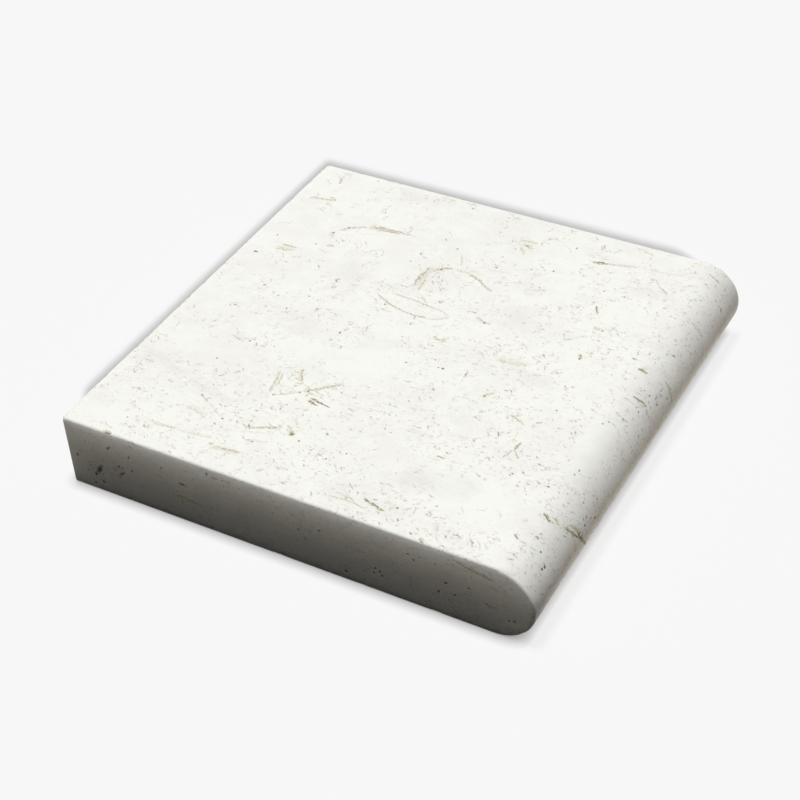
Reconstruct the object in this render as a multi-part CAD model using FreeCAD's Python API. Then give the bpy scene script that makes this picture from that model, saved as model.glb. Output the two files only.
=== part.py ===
"""Bullnose coping tile: one sawn slab of shell limestone with a full-round front edge.

The tile lies face up on its bed. X runs from the back joint face to the tip of the nose,
Y runs along the nose, and Z runs from the bed up to the honed face. The origin is the
middle of the tile's footprint, on the bed.
"""

import FreeCAD
import Part
import os

# Driving dimensions, in millimetres
WIDTH = 305.0
LENGTH = 305.0
THICKNESS = 50.0
ARRIS_RADIUS = 1.5

# A full bullnose is a half circle across the whole thickness
NOSE_RADIUS = THICKNESS / 2

# Planes that the section and the edges are placed by
BACK_X = -WIDTH / 2
NOSE_TIP_X = WIDTH / 2
NOSE_START_X = NOSE_TIP_X - NOSE_RADIUS
NEAR_END_Y = -LENGTH / 2

# Two lengths closer than this are the same
SAME = 1e-6


def section():
    """The tile's cross-section at its near end: flat bed, half-round nose, flat face, square back."""
    def at(x, z):
        return FreeCAD.Vector(x, NEAR_END_Y, z)

    bed = Part.LineSegment(at(BACK_X, 0), at(NOSE_START_X, 0))
    nose = Part.Arc(at(NOSE_START_X, 0), at(NOSE_TIP_X, NOSE_RADIUS), at(NOSE_START_X, THICKNESS))
    face = Part.LineSegment(at(NOSE_START_X, THICKNESS), at(BACK_X, THICKNESS))
    back = Part.LineSegment(at(BACK_X, THICKNESS), at(BACK_X, 0))
    outline = Part.Wire([curve.toShape() for curve in (bed, nose, face, back)])
    return Part.Face(outline)


def is_nose_seam(edge):
    """True for the two straight lines along Y where a flat runs smoothly into the nose."""
    straight = isinstance(edge.Curve, Part.Line)
    return straight and abs(edge.CenterOfMass.x - NOSE_START_X) < SAME


def bullnose_tile():
    """The slab, with every sawn edge eased to a small round arris."""
    slab = section().extrude(FreeCAD.Vector(0, LENGTH, 0))
    sawn_edges = [edge for edge in slab.Edges if not is_nose_seam(edge)]
    return slab.makeFillet(ARRIS_RADIUS, sawn_edges)


def export(name, shape):
    """Checks that the piece is one valid solid and writes it as parts/NAME.step."""
    if not shape.isValid() or len(shape.Solids) != 1:
        raise ValueError(f"{name} is not one valid solid")
    shape.Solids[0].exportStep(os.path.join("parts", f"{name}.step"))
    box = shape.optimalBoundingBox()
    litres = shape.Volume / 1e6
    print(f"{name}: {box.XLength:.2f} x {box.YLength:.2f} x {box.ZLength:.2f} mm, {litres:.3f} litres")


os.makedirs("parts", exist_ok=True)
export("bullnose_tile", bullnose_tile())
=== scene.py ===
"""Bullnose coping tile in white shell limestone.

The tile is one piece of stone: a honed face that rolls into a full-round nose, and a back, two ends
and a bed left as the saw cut them. The mesh holds the real relief, which is open pits, nicked arrises
and a worn corner. The shell fragments that can be told apart by eye lie in fields on its vertices.
The fine shell hash, the specks and the cloudy ground run through the whole stone, so that they carry
on round every edge. The stone's lengths and the camera's place are in millimetres. The floor, the boards
and the shadows of the studio are in metres.
"""

import logging
import math
from collections.abc import Iterable, Mapping
from dataclasses import dataclass, field
from enum import Enum
from typing import Union

import bpy
import numpy as np
from mathutils import Euler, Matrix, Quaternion, Vector
from mathutils.geometry import delaunay_2d_cdt


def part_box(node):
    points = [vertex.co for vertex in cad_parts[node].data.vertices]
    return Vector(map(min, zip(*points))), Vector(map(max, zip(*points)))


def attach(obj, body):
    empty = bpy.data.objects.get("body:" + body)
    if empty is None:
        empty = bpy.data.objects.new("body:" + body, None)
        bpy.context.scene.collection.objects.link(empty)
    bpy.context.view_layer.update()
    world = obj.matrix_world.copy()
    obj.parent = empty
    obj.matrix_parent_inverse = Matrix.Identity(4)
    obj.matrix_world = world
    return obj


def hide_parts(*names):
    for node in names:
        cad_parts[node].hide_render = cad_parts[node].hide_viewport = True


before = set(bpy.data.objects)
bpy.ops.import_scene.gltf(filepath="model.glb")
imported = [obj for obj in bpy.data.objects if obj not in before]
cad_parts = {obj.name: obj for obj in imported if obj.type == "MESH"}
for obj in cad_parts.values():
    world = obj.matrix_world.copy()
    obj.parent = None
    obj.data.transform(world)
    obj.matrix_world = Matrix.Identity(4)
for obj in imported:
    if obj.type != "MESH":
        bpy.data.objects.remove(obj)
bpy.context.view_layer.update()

LOG = logging.getLogger("bullnose_tile")
MM = 0.001
NODE = "bullnose_tile"
BODY = "root"

# Distances in millimetres that count as none, beside a line and between points that are joined
NEAR_ZERO, JOIN_LIMIT = 1e-6, 1e-7

Colour = tuple[float, float, float, float]
Value = Union[float, Colour, tuple[float, float, float], bpy.types.NodeSocket]


def srgb(red: int, green: int, blue: int) -> Colour:
    """A colour as a shader takes it, from its screen values.

    Args:
        red: Screen red, 0 to 255.
        green: Screen green, 0 to 255.
        blue: Screen blue, 0 to 255.

    Returns:
        The linear colour, with full alpha.
    """
    def linear(level: int) -> float:
        """One channel in linear light."""
        share = level / 255
        return share / 12.92 if share <= 0.04045 else ((share + 0.055) / 1.055) ** 2.4

    return (linear(red), linear(green), linear(blue), 1.0)


# The stone's shape


class Finish(Enum):
    """How a face of the tile was worked. The value is its material's place on the mesh."""

    HONED = 0
    SAWN = 1
    BED = 2


@dataclass(frozen=True)
class Flat:
    """A straight run of the section, from one point to another in X and Z, solid on its right."""

    start: tuple[float, float]
    end: tuple[float, float]

    @property
    def length(self) -> float:
        """The run's length."""
        return math.dist(self.start, self.end)

    def locate(self, distance: np.ndarray) -> tuple[np.ndarray, np.ndarray]:
        """Points on the run and its outward normals.

        Args:
            distance: Distances along the run.

        Returns:
            Two arrays of X and Z pairs, the points and the normals.
        """
        way = (np.array(self.end) - np.array(self.start)) / self.length
        normal = np.array([-way[1], way[0]])
        return np.array(self.start) + distance[:, None] * way, np.tile(normal, (len(distance), 1))


@dataclass(frozen=True)
class Round:
    """A clockwise arc of the section in X and Z."""

    centre: tuple[float, float]
    radius: float
    start_angle: float
    sweep: float

    @property
    def length(self) -> float:
        """The arc's length."""
        return self.radius * math.radians(self.sweep)

    def locate(self, distance: np.ndarray) -> tuple[np.ndarray, np.ndarray]:
        """Points on the arc and its outward normals.

        Args:
            distance: Distances along the arc.

        Returns:
            Two arrays of X and Z pairs, the points and the normals.
        """
        angle = math.radians(self.start_angle) - distance / self.radius
        normal = np.stack([np.cos(angle), np.sin(angle)], axis=1)
        return np.array(self.centre) + self.radius * normal, normal


@dataclass(frozen=True)
class Section:
    """The tile's cross-section as one closed line, measured so that a place on the face is its X."""

    width: float
    thickness: float
    arris: float

    @property
    def nose_radius(self) -> float:
        """A full bullnose is half as high as the tile is thick."""
        return self.thickness / 2

    @property
    def nose_start(self) -> float:
        """X where the face and the bed run into the nose."""
        return self.width / 2 - self.nose_radius

    @property
    def face_start(self) -> float:
        """X where the face begins, beside the back's arris."""
        return self.arris - self.width / 2

    def runs(self) -> dict[str, Union[Flat, Round]]:
        """The section's runs, in order from the start of the face.

        Returns:
            Each run by its name.
        """
        back, top, ease = -self.width / 2, self.thickness, self.arris
        return {
            "face": Flat((self.face_start, top), (self.nose_start, top)),
            "nose": Round((self.nose_start, self.nose_radius), self.nose_radius, 90, 180),
            "bed": Flat((self.nose_start, 0), (self.face_start, 0)),
            "bed_arris": Round((self.face_start, ease), ease, -90, 90),
            "back": Flat((back, ease), (back, top - ease)),
            "back_arris": Round((self.face_start, top - ease), ease, 180, 90),
        }

    def spans(self) -> dict[str, tuple[float, float]]:
        """Where each run begins and ends along the line.

        Returns:
            The two distances by the run's name.
        """
        found, place = {}, self.face_start
        for name, run in self.runs().items():
            found[name] = (place, place + run.length)
            place += run.length
        return found

    @property
    def girth(self) -> float:
        """The length of the whole line."""
        return sum(run.length for run in self.runs().values())

    def wrapped(self, along: np.ndarray) -> np.ndarray:
        """The same places on the line, counted from the start of the face."""
        return (along - self.face_start) % self.girth + self.face_start

    def locate(self, along: np.ndarray) -> tuple[np.ndarray, np.ndarray]:
        """Points on the line and the outward normals there.

        Args:
            along: Distances along the line, which may run on past its ends.

        Returns:
            Two arrays of X and Z pairs, the points and the normals.
        """
        place = self.wrapped(np.asarray(along, float))
        point, normal = np.zeros((len(place), 2)), np.zeros((len(place), 2))
        spans = self.spans()
        for name, run in self.runs().items():
            low, high = spans[name]
            here = (place >= low) & (place <= high)
            point[here], normal[here] = run.locate(place[here] - low)
        return point, normal


@dataclass(frozen=True)
class Pit:
    """An open pore or a lost fragment: a small hollow with a lip, longer one way."""

    x: float
    y: float
    length: float
    width: float
    heading: float
    depth: float
    tone: float = 1.0

    def rings(self, rng: np.random.Generator) -> tuple[np.ndarray, np.ndarray]:
        """The points that shape the pit.

        Args:
            rng: Roughens the outline.

        Returns:
            The points, and how far down each one is as a share of the depth.
        """
        points, shares = [], []
        turn = math.radians(self.heading)
        along = np.array([math.cos(turn), math.sin(turn)])
        beside = np.array([-math.sin(turn), math.cos(turn)])
        lip = 1 + PIT_ROUGHNESS * (rng.random(PIT_SIDES) - 0.5)
        for reach, share, sides in PIT_RINGS:
            angle = 2 * math.pi * np.arange(sides) / sides + reach
            out = reach * np.interp(np.arange(sides) * PIT_SIDES / sides, np.arange(PIT_SIDES), lip)
            ring = np.outer(out * np.cos(angle) * self.length, along)
            ring = (ring + np.outer(out * np.sin(angle) * self.width, beside)) * PIT_SIZE / 2
            points.append(ring + (self.x, self.y))
            shares.append(np.full(sides, share))
        return np.concatenate(points), np.concatenate(shares)

    @property
    def reach(self) -> float:
        """How far the pit's rim is from its middle, at most."""
        return PIT_RINGS[0][0] * PIT_CLEARANCE * max(self.length, self.width) / 2


# How pits are drawn: the sides of a rim and how ragged it is, how deep and how wide they are against what
# their rows say, the room that a rim takes, and how far other points stay from it
PIT_SIDES = 9
PIT_ROUGHNESS = 0.22
PIT_DEPTH = 0.20
PIT_SIZE = 0.85
PIT_CLEARANCE = 1.15
PIT_MARGIN = 0.5
# A pit's rings: how far out, how deep as a share, and how many sides
PIT_RINGS = ((1.3, 0.0, PIT_SIDES), (0.95, 0.4, PIT_SIDES), (0.5, 1.0, 5), (0.0, 1.05, 1))


@dataclass(frozen=True)
class Nick:
    """A place where an arris was knocked: its middle on the unrolled stone, its sizes there and its depth."""

    along: float
    across: float
    length: float
    breadth: float
    depth: float

    def bite(self, along: np.ndarray, across: np.ndarray) -> np.ndarray:
        """How much stone is gone at each place.

        Args:
            along: Places along the section's line.
            across: Places along the tile.

        Returns:
            The depth lost at each place.
        """
        lengthwise = (along - self.along) / (self.length / 2)
        sidewise = (across - self.across) / (self.breadth / 2)
        far = lengthwise ** 2 + sidewise ** 2
        return self.depth * np.clip(1 - far, 0, None) ** NICK_ROUNDING


@dataclass(frozen=True)
class Knocks:
    """Nicks along a stretch of arris: how many, their least and greatest length, and their breadth."""

    count: int
    shortest: float
    longest: float
    breadth: float


# How rounded a nick is
NICK_ROUNDING = 1.5
# Knocks along each end's arris, with their least depth and what each millimetre of length may add
END_FACE_KNOCKS = Knocks(34, 1.6, 5.0, 2.6)
END_BED_KNOCKS = Knocks(16, 2.0, 7.0, 3.2)
END_KNOCK_DEPTH, END_KNOCK_GROWTH = 0.04, 0.05
# Knocks on the back's arrises toward the ends, and along the face's, with where they lie and their depths
BACK_KNOCKS = Knocks(6, 2.0, 6.0, 3.0)
BACK_KNOCKS_FROM, BACK_KNOCK_DEPTHS = 20.0, (0.2, 0.6)
FACE_KNOCKS = Knocks(22, 1.6, 5.0, 2.6)
FACE_KNOCKS_WITHIN, FACE_KNOCK_DEPTHS = 150.0, (0.1, 0.4)


class Kind(Enum):
    """How a shell fragment shows where the saw and the hone cut it."""

    SLIVER = "sliver"
    SHELL = "shell"
    GHOST = "ghost"
    BARE = "bare"


@dataclass(frozen=True)
class Fragment:
    """A shell fragment on one face: a stroke between two points, bowed to its left, of some width.

    Its taper is the share of the width that is gone at its end.
    """

    start: tuple[float, float]
    end: tuple[float, float]
    width: float
    tone: float
    bow: float = 0.0
    kind: Kind = Kind.SLIVER
    taper: float = 0.0

    def field_at(self, places: np.ndarray) -> tuple[np.ndarray, np.ndarray]:
        """Where places lie against the stroke.

        Args:
            places: Points on the face.

        Returns:
            How far along each is, from -1 to 1 over the stroke, and how far beside its middle line.
        """
        start, end = np.array(self.start), np.array(self.end)
        middle, half = (start + end) / 2, np.linalg.norm(end - start) / 2
        way = (end - start) / (2 * half)
        side = np.array([-way[1], way[0]])
        along = (places - middle) @ way / half
        beside = (places - middle) @ side - self.bow * (1 - np.clip(along, -BOW_REACH, BOW_REACH) ** 2)
        return along, beside

    @property
    def half(self) -> float:
        """Half the stroke's length."""
        return math.dist(self.start, self.end) / 2


# How far a fragment's bow runs, in half lengths from its middle
BOW_REACH = 1.5

# Shell fragments on the face and nose, in unrolled X and in Y: start, end, width, tone, bow, kind and taper
SLIVER, SHELL, GHOST, BARE = Kind.SLIVER, Kind.SHELL, Kind.GHOST, Kind.BARE
FACE_FRAGMENTS = (
    # Far side, from the back to the nose
    Fragment((-88, 95.0), (-55, 99), 5.4, 0.80, 1.0, SHELL, 0.8),
    Fragment((-80, 95.8), (-64, 97.6), 1.2, 0.9, 0.2),
    Fragment((-104, 83), (-86, 95.5), 2.2, 0.55, 2.0),
    Fragment((-107, 80), (-103, 74), 3.0, 0.45, 0.5),
    Fragment((-132, 49.5), (-117, 53), 4.6, 0.62, 0.0, SHELL),
    Fragment((-129, 54.6), (-117.5, 55), 1.2, 0.85),
    Fragment((-143, 110.5), (-122, 115), 2.6, 0.50, -0.6),
    Fragment((-129, 117), (-122.5, 114.5), 1.6, 0.7),
    Fragment((-134, 141), (-131, 134), 2.0, 0.65),
    Fragment((-137, 147), (-129, 146), 2.6, 0.35),
    Fragment((-92, 149), (-83, 140.5), 3.0, 0.25),
    Fragment((-60, 149), (-48, 148.5), 2.0, 0.40),
    Fragment((-60, 122), (-49, 121), 3.6, 0.32, 0.0, SHELL),
    Fragment((-62, 109), (-59.5, 106), 1.6, 0.5),
    Fragment((-116, 100), (-110, 103), 3.0, 0.30),
    Fragment((-102, 65), (-96.5, 67), 1.8, 0.65),
    Fragment((-105, 60), (-96, 56), 1.4, 0.32, 1.0),
    Fragment((-82, 74), (-78, 48), 8.0, 0.7, 0.0, GHOST),
    Fragment((-78, 56), (-62, 40), 11.0, 0.6, 0.0, GHOST),
    Fragment((-64, 40), (-62, 18), 5.0, 0.4, 0.0, GHOST),
    Fragment((-38, 140), (-36, 118), 11.0, 0.5, 0.0, GHOST),
    Fragment((-90, 150), (-72, 136), 7.0, 0.7, 0.0, GHOST),
    Fragment((-86, -4), (-68, -27), 14.0, 0.65, 0.0, GHOST),
    Fragment((-32, -20), (2, -5), 8.0, 0.7, 0.0, GHOST),
    Fragment((36, 57), (62, 37), 10.0, 0.6, 0.0, GHOST),
    Fragment((70, -6), (93, 2), 11.0, 0.4, 0.0, GHOST),
    Fragment((94, 104), (128, 106), 8.0, 0.5, 2.0, GHOST),
    Fragment((112, 61), (138, 56), 9.0, 0.6, 0.0, GHOST),
    Fragment((-27.5, 76), (-26, 40), 5.0, 0.7, 1.0, GHOST),
    Fragment((-44, 32), (8, 27), 5.0, 0.45, -3.0, GHOST),
    Fragment((-114, -28), (-92, -47), 6.0, 0.5, 0.0, GHOST),
    Fragment((16, -138), (66, -137), 9.0, 0.3, 0.0, GHOST),
    Fragment((-30, 97), (-10, 93), 9.0, 0.4, 0.0, GHOST),
    Fragment((56, -20), (58, -62), 14.0, 0.35, 0.0, GHOST),
    Fragment((-27.5, 74), (-28, 48), 4.4, 0.72, 0.0, SHELL),
    Fragment((-24.5, 60), (-23, 46), 1.8, 0.55),
    Fragment((-25, 68.5), (-13.5, 77.2), 2.1, 0.78, 1.4),
    Fragment((-12, 77.3), (-1, 76.4), 1.4, 0.48),
    Fragment((-2.5, 76), (11, 70.5), 1.9, 0.70, 0.8),
    Fragment((9, 71), (19.5, 65), 1.8, 0.66, -0.4),
    Fragment((22, 64), (27, 46), 1.2, 0.26, 1.2),
    Fragment((-17.5, 95), (-10.5, 81), 1.3, 0.48, 0.8),
    Fragment((-36.5, 73), (-31.5, 65.5), 1.3, 0.40),
    Fragment((-40.5, 88), (-39.5, 82), 1.3, 0.28),
    Fragment((0, 60), (7.5, 47.5), 1.1, 0.32, -1.0),
    Fragment((-47.5, 34.5), (-2, 23), 1.4, 0.66, -4.6),
    Fragment((-39, 37.5), (6, 32.5), 1.2, 0.55, 1.0),
    Fragment((-3, 23.2), (8, 31), 1.6, 0.46, -1.4),
    Fragment((-36.5, 20.5), (-26.5, 19.8), 1.3, 0.42, -1.0),
    Fragment((-9, 20), (-1, 17), 1.4, 0.30),
    Fragment((-19, 43), (-11.5, 37), 1.4, 0.42),
    Fragment((10, 123.5), (23.5, 124.8), 2.6, 0.46, 0.4),
    Fragment((14, 121), (22.5, 119.5), 3.4, 0.50),
    Fragment((14.5, 118), (20.5, 110.5), 2.0, 0.50),
    Fragment((5, 86), (25, 89.8), 1.3, 0.32, -1.4),
    Fragment((26, 92), (44, 94.5), 1.0, 0.22),
    Fragment((36, 75), (50, 81.5), 2.0, 0.30),
    Fragment((62.5, 121), (74, 123.4), 2.3, 1.0),
    Fragment((72, 123), (94, 128.6), 2.0, 0.52, 0.3),
    Fragment((97, 128.6), (124, 132.2), 2.0, 0.34, -0.6),
    Fragment((62.2, 143), (64.2, 135), 2.6, 0.60),
    Fragment((82, 147.6), (97, 144.6), 1.8, 0.40),
    Fragment((107, 121.5), (112.5, 113.5), 1.8, 0.30),
    Fragment((112, 114), (119.5, 108.8), 1.9, 0.62),
    Fragment((95, 105.8), (110, 110.8), 1.7, 0.34, -0.8),
    Fragment((93, 116), (95.5, 104), 2.4, 0.22),
    Fragment((118, 101), (140, 94.5), 1.4, 0.20, -1.0),
    Fragment((84.5, 79.5), (88.8, 71.8), 1.7, 0.85),
    Fragment((91.5, 59.4), (99.5, 57.4), 2.0, 0.58),
    Fragment((75, 62), (82, 60), 2.0, 0.25),
    Fragment((86, 46), (94, 48.6), 2.0, 0.30),
    Fragment((59, 44.4), (67, 43.2), 2.2, 0.26),
    Fragment((22.5, 37), (31, 33.6), 2.6, 0.52),
    Fragment((95.8, 31), (97.8, 25.5), 1.9, 0.95),
    Fragment((104, 26), (119, 28), 1.2, 0.30, 0.6),
    Fragment((7.5, 8.8), (17, 9.4), 1.9, 0.60, -2.4),
    Fragment((51, 6), (73, 9.5), 5.6, 0.50, -0.8, SHELL),
    Fragment((124, 8.5), (129, 4), 2.2, 0.36),
    Fragment((131.5, 33), (138.5, 33.2), 1.9, 1.15),
    Fragment((133.5, 36), (137, 36), 1.0, 0.55),
    Fragment((134, 141.8), (144, 139.8), 1.3, 0.75),
    Fragment((138, 10), (149.5, 11.6), 1.4, 1.0, 0.3),
    Fragment((149, 39), (165, 38.2), 2.0, 0.60),
    Fragment((142, 94), (156, 93.4), 2.2, 0.50),
    Fragment((150, 8.5), (158, 7.5), 2.4, 0.42),
    # Near side, from the back to the nose
    Fragment((-105.5, -42.6), (-94, -45.2), 2.0, 0.44),
    Fragment((-140.5, -85.4), (-132.5, -86), 2.0, 0.55),
    Fragment((-154, -73.5), (-60, -100.5), 5.0, 0.75, -1.5, GHOST),
    Fragment((-144, -88.5), (-138.5, -95), 1.3, 0.40),
    Fragment((-116, -75), (-111.5, -80), 1.4, 0.50),
    Fragment((-110, -79), (-104, -74.5), 1.6, 0.32),
    Fragment((-116, -95), (-111, -97.6), 1.6, 0.48),
    Fragment((-130, -101), (-120, -99), 1.6, 0.28),
    Fragment((-123.5, -124.2), (-117, -126), 1.8, 0.40),
    Fragment((-71, -57.5), (-64.5, -63.5), 1.6, 0.32),
    Fragment((-59.4, -59.5), (-54.2, -82), 1.5, 0.62, 0.6),
    Fragment((-57.2, -60.8), (-53.8, -75), 1.3, 0.58, 1.0),
    Fragment((-52.5, -82), (-36, -70.5), 1.4, 0.46, -0.6),
    Fragment((-37.5, -71.5), (-17.5, -53.6), 2.1, 0.66, -0.4),
    Fragment((-48, -52.4), (-41, -65), 2.3, 0.64, -1.2),
    Fragment((-29.8, -74.3), (-14.0, -77.5), 2.0, 1.40, 0.0, SLIVER, 0.75),
    Fragment((-29.8, -76.9), (-21.5, -79.2), 1.7, 1.25, 0.0, SLIVER, 0.4),
    Fragment((-14, -84), (2, -80.5), 1.2, 0.34),
    Fragment((-92, -111.2), (-74.5, -115.2), 3.8, 0.52, 0.4, SHELL),
    Fragment((-89.5, -99.5), (-82, -103), 1.6, 0.52),
    Fragment((-82, -103.5), (-65, -113.8), 0.9, 0.40),
    Fragment((-102, -132.6), (-84, -131), 2.1, 0.52, -0.5),
    Fragment((-86, -131.4), (-60, -128.8), 2.4, 0.34, -0.8),
    Fragment((-60, -137.2), (-40, -134.2), 3.2, 0.55, 0.5, SHELL),
    Fragment((-53, -135), (-40, -133.4), 1.2, 0.75),
    Fragment((-51, -114.6), (-30, -104.6), 2.0, 0.64, 0.5),
    Fragment((-52, -117.6), (-33, -112.2), 1.5, 0.28),
    Fragment((-42.5, -122.4), (-30, -118.8), 1.8, 0.42),
    Fragment((-29, -101), (-20, -108.5), 2.0, 0.56, 0.8),
    Fragment((-24, -105), (-21.5, -109), 2.6, 0.85),
    Fragment((-36, -97.5), (-52, -96.8), 1.2, 0.28),
    Fragment((0, -110), (0.5, -123), 1.3, 0.34),
    Fragment((60, -30), (66.5, -23.5), 1.7, 0.55),
    Fragment((82.5, -37.5), (93, -41.8), 2.2, 0.66, 0.3, SLIVER, 0.5),
    Fragment((65, -44), (68.5, -40.5), 1.7, 0.52),
    Fragment((98.4, -56), (97.6, -64.5), 1.3, 0.90),
    Fragment((97.4, -63.5), (94.8, -74), 1.2, 0.62),
    Fragment((98, -64), (103.5, -70.5), 1.1, 0.68),
    Fragment((60, -70), (72, -68), 2.4, 0.26, 1.0),
    Fragment((34, -76), (48, -73), 3.0, 0.25, 0.8),
    Fragment((10, -76), (18, -77.5), 2.4, 0.30),
    Fragment((60.5, -88), (66.5, -87.8), 1.3, 0.80),
    Fragment((71.5, -90), (74.5, -96), 1.5, 0.34),
    Fragment((119, -69.5), (124, -71.5), 1.6, 0.45),
    Fragment((127, -73.4), (133.5, -71.8), 1.5, 0.32, -0.8),
    Fragment((48, -112), (97, -104), 15.0, 1.0, 0.0, GHOST),
    # Painted shade: this grey patch where the face rolls into the nose stands in for the nose's shade there
    Fragment((116, -122), (138, -117), 8.0, 0.7, 0.0, GHOST),
    Fragment((40.5, -135.8), (56.5, -140.4), 1.7, 1.10),
    Fragment((21.5, -143), (46, -142.8), 1.1, 0.52, 1.8),
    Fragment((26, -137.6), (36, -139.2), 1.4, 0.44),
    Fragment((21, -133.4), (31, -131.4), 1.9, 0.34, 0.6),
    Fragment((46, -119.5), (53, -121), 1.5, 0.40),
    Fragment((53, -131), (63, -136), 3.4, 0.36, 0.0, SHELL),
    Fragment((87, -136), (89.5, -142.5), 2.4, 0.36),
    Fragment((107.5, -138.2), (112.5, -144), 1.0, 0.48),
    Fragment((111.5, -137.6), (117, -144.4), 1.0, 0.48, 0.6),
    Fragment((115, -137.4), (120, -142), 1.0, 0.42),
    Fragment((134, -102.4), (140, -106.2), 1.6, 1.25),
    Fragment((140.5, -100.8), (145, -104), 1.5, 0.66),
    Fragment((147, -101), (174, -84), 6.0, 0.34, 0.0, SHELL),
    Fragment((148, -102), (157, -97), 1.4, 1.10),
    Fragment((155, -99), (163.5, -91.5), 1.2, 1.20),
    Fragment((160, -95.5), (169, -89.5), 1.3, 1.05),
    Fragment((166, -91), (176, -84), 1.5, 1.20),
    Fragment((150, -97), (160, -92), 1.2, 0.80),
    # Patches with few flecks
    Fragment((-38, 118), (0, 113), 16.0, 0.9, 0.0, BARE),
    Fragment((-20, -10), (-18, -48), 24.0, 1.0, 0.0, BARE),
    Fragment((10, -97), (60, -104), 13.0, 0.9, 0.0, BARE),
    Fragment((72, -112), (128, -112), 24.0, 1.0, 0.0, BARE),
    Fragment((-52, 84), (-50, 48), 16.0, 0.8, 0.0, BARE),
    Fragment((-140, 128), (-138, 70), 10.0, 0.8, 0.0, BARE),
    Fragment((62, 106), (60, 74), 14.0, 0.7, 0.0, BARE),
    Fragment((92, 12), (134, 2), 12.0, 0.7, 0.0, BARE),
    Fragment((137, -16), (137, -78), 14.0, 0.9, 0.0, BARE),
    Fragment((-140, -60), (-104, -60), 16.0, 0.8, 0.0, BARE),
    Fragment((-148, -136), (-118, -138), 10.0, 0.8, 0.0, BARE),
    Fragment((48, -57), (78, -60), 12.0, 0.7, 0.0, BARE),
    Fragment((108, 88), (120, 62), 13.0, 0.7, 0.0, BARE),
    # Slivers that the near arris cuts
    Fragment((-123, -151.4), (-116.5, -151.8), 2.0, 0.95),
    Fragment((83.5, -149.5), (87, -152), 1.8, 0.8),
)

# Shell fragments on the near end, in X and Z
END_FRAGMENTS = (
    Fragment((-135, 10.5), (-127.6, 22.6), 2.4, 0.95),
    Fragment((-116.5, 17.5), (-111.5, 23), 1.8, 0.75),
    Fragment((-123, 36.2), (-119, 39.6), 1.7, 0.7),
    Fragment((-121, 22), (-113, 26), 2.2, 0.40),
    Fragment((-106.4, 47), (-102, 43.6), 1.8, 0.55),
    Fragment((-76, 19.6), (-60, 17.8), 1.6, 0.55),
    Fragment((-73, 28.8), (-66.4, 29.8), 2.2, 0.60),
    Fragment((-48.5, 43.4), (-43.5, 44.4), 2.2, 0.62),
    Fragment((-33, 47.5), (-26, 47), 1.8, 0.42),
    Fragment((-60, 31), (-40, 38), 4.5, 0.30, 0.0, GHOST),
    Fragment((101, 47.6), (131, 40.2), 1.9, 0.70, -1.0),
    Fragment((103, 40.4), (117, 40.6), 1.4, 0.34),
    Fragment((133, 47.4), (142.5, 43.6), 2.2, 0.62),
    Fragment((118, 35), (146, 34), 1.6, 0.26),
    Fragment((56, 36.4), (64, 36.8), 1.8, 0.40),
    Fragment((56, 23.5), (72, 19.5), 6.0, 0.55, 0.0, GHOST),
    Fragment((8, 38.5), (13, 43.5), 1.8, 0.32),
    Fragment((35, 38.5), (41, 44), 1.8, 0.32),
    Fragment((122, 21.4), (127.5, 19), 1.6, 0.60),
)

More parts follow.
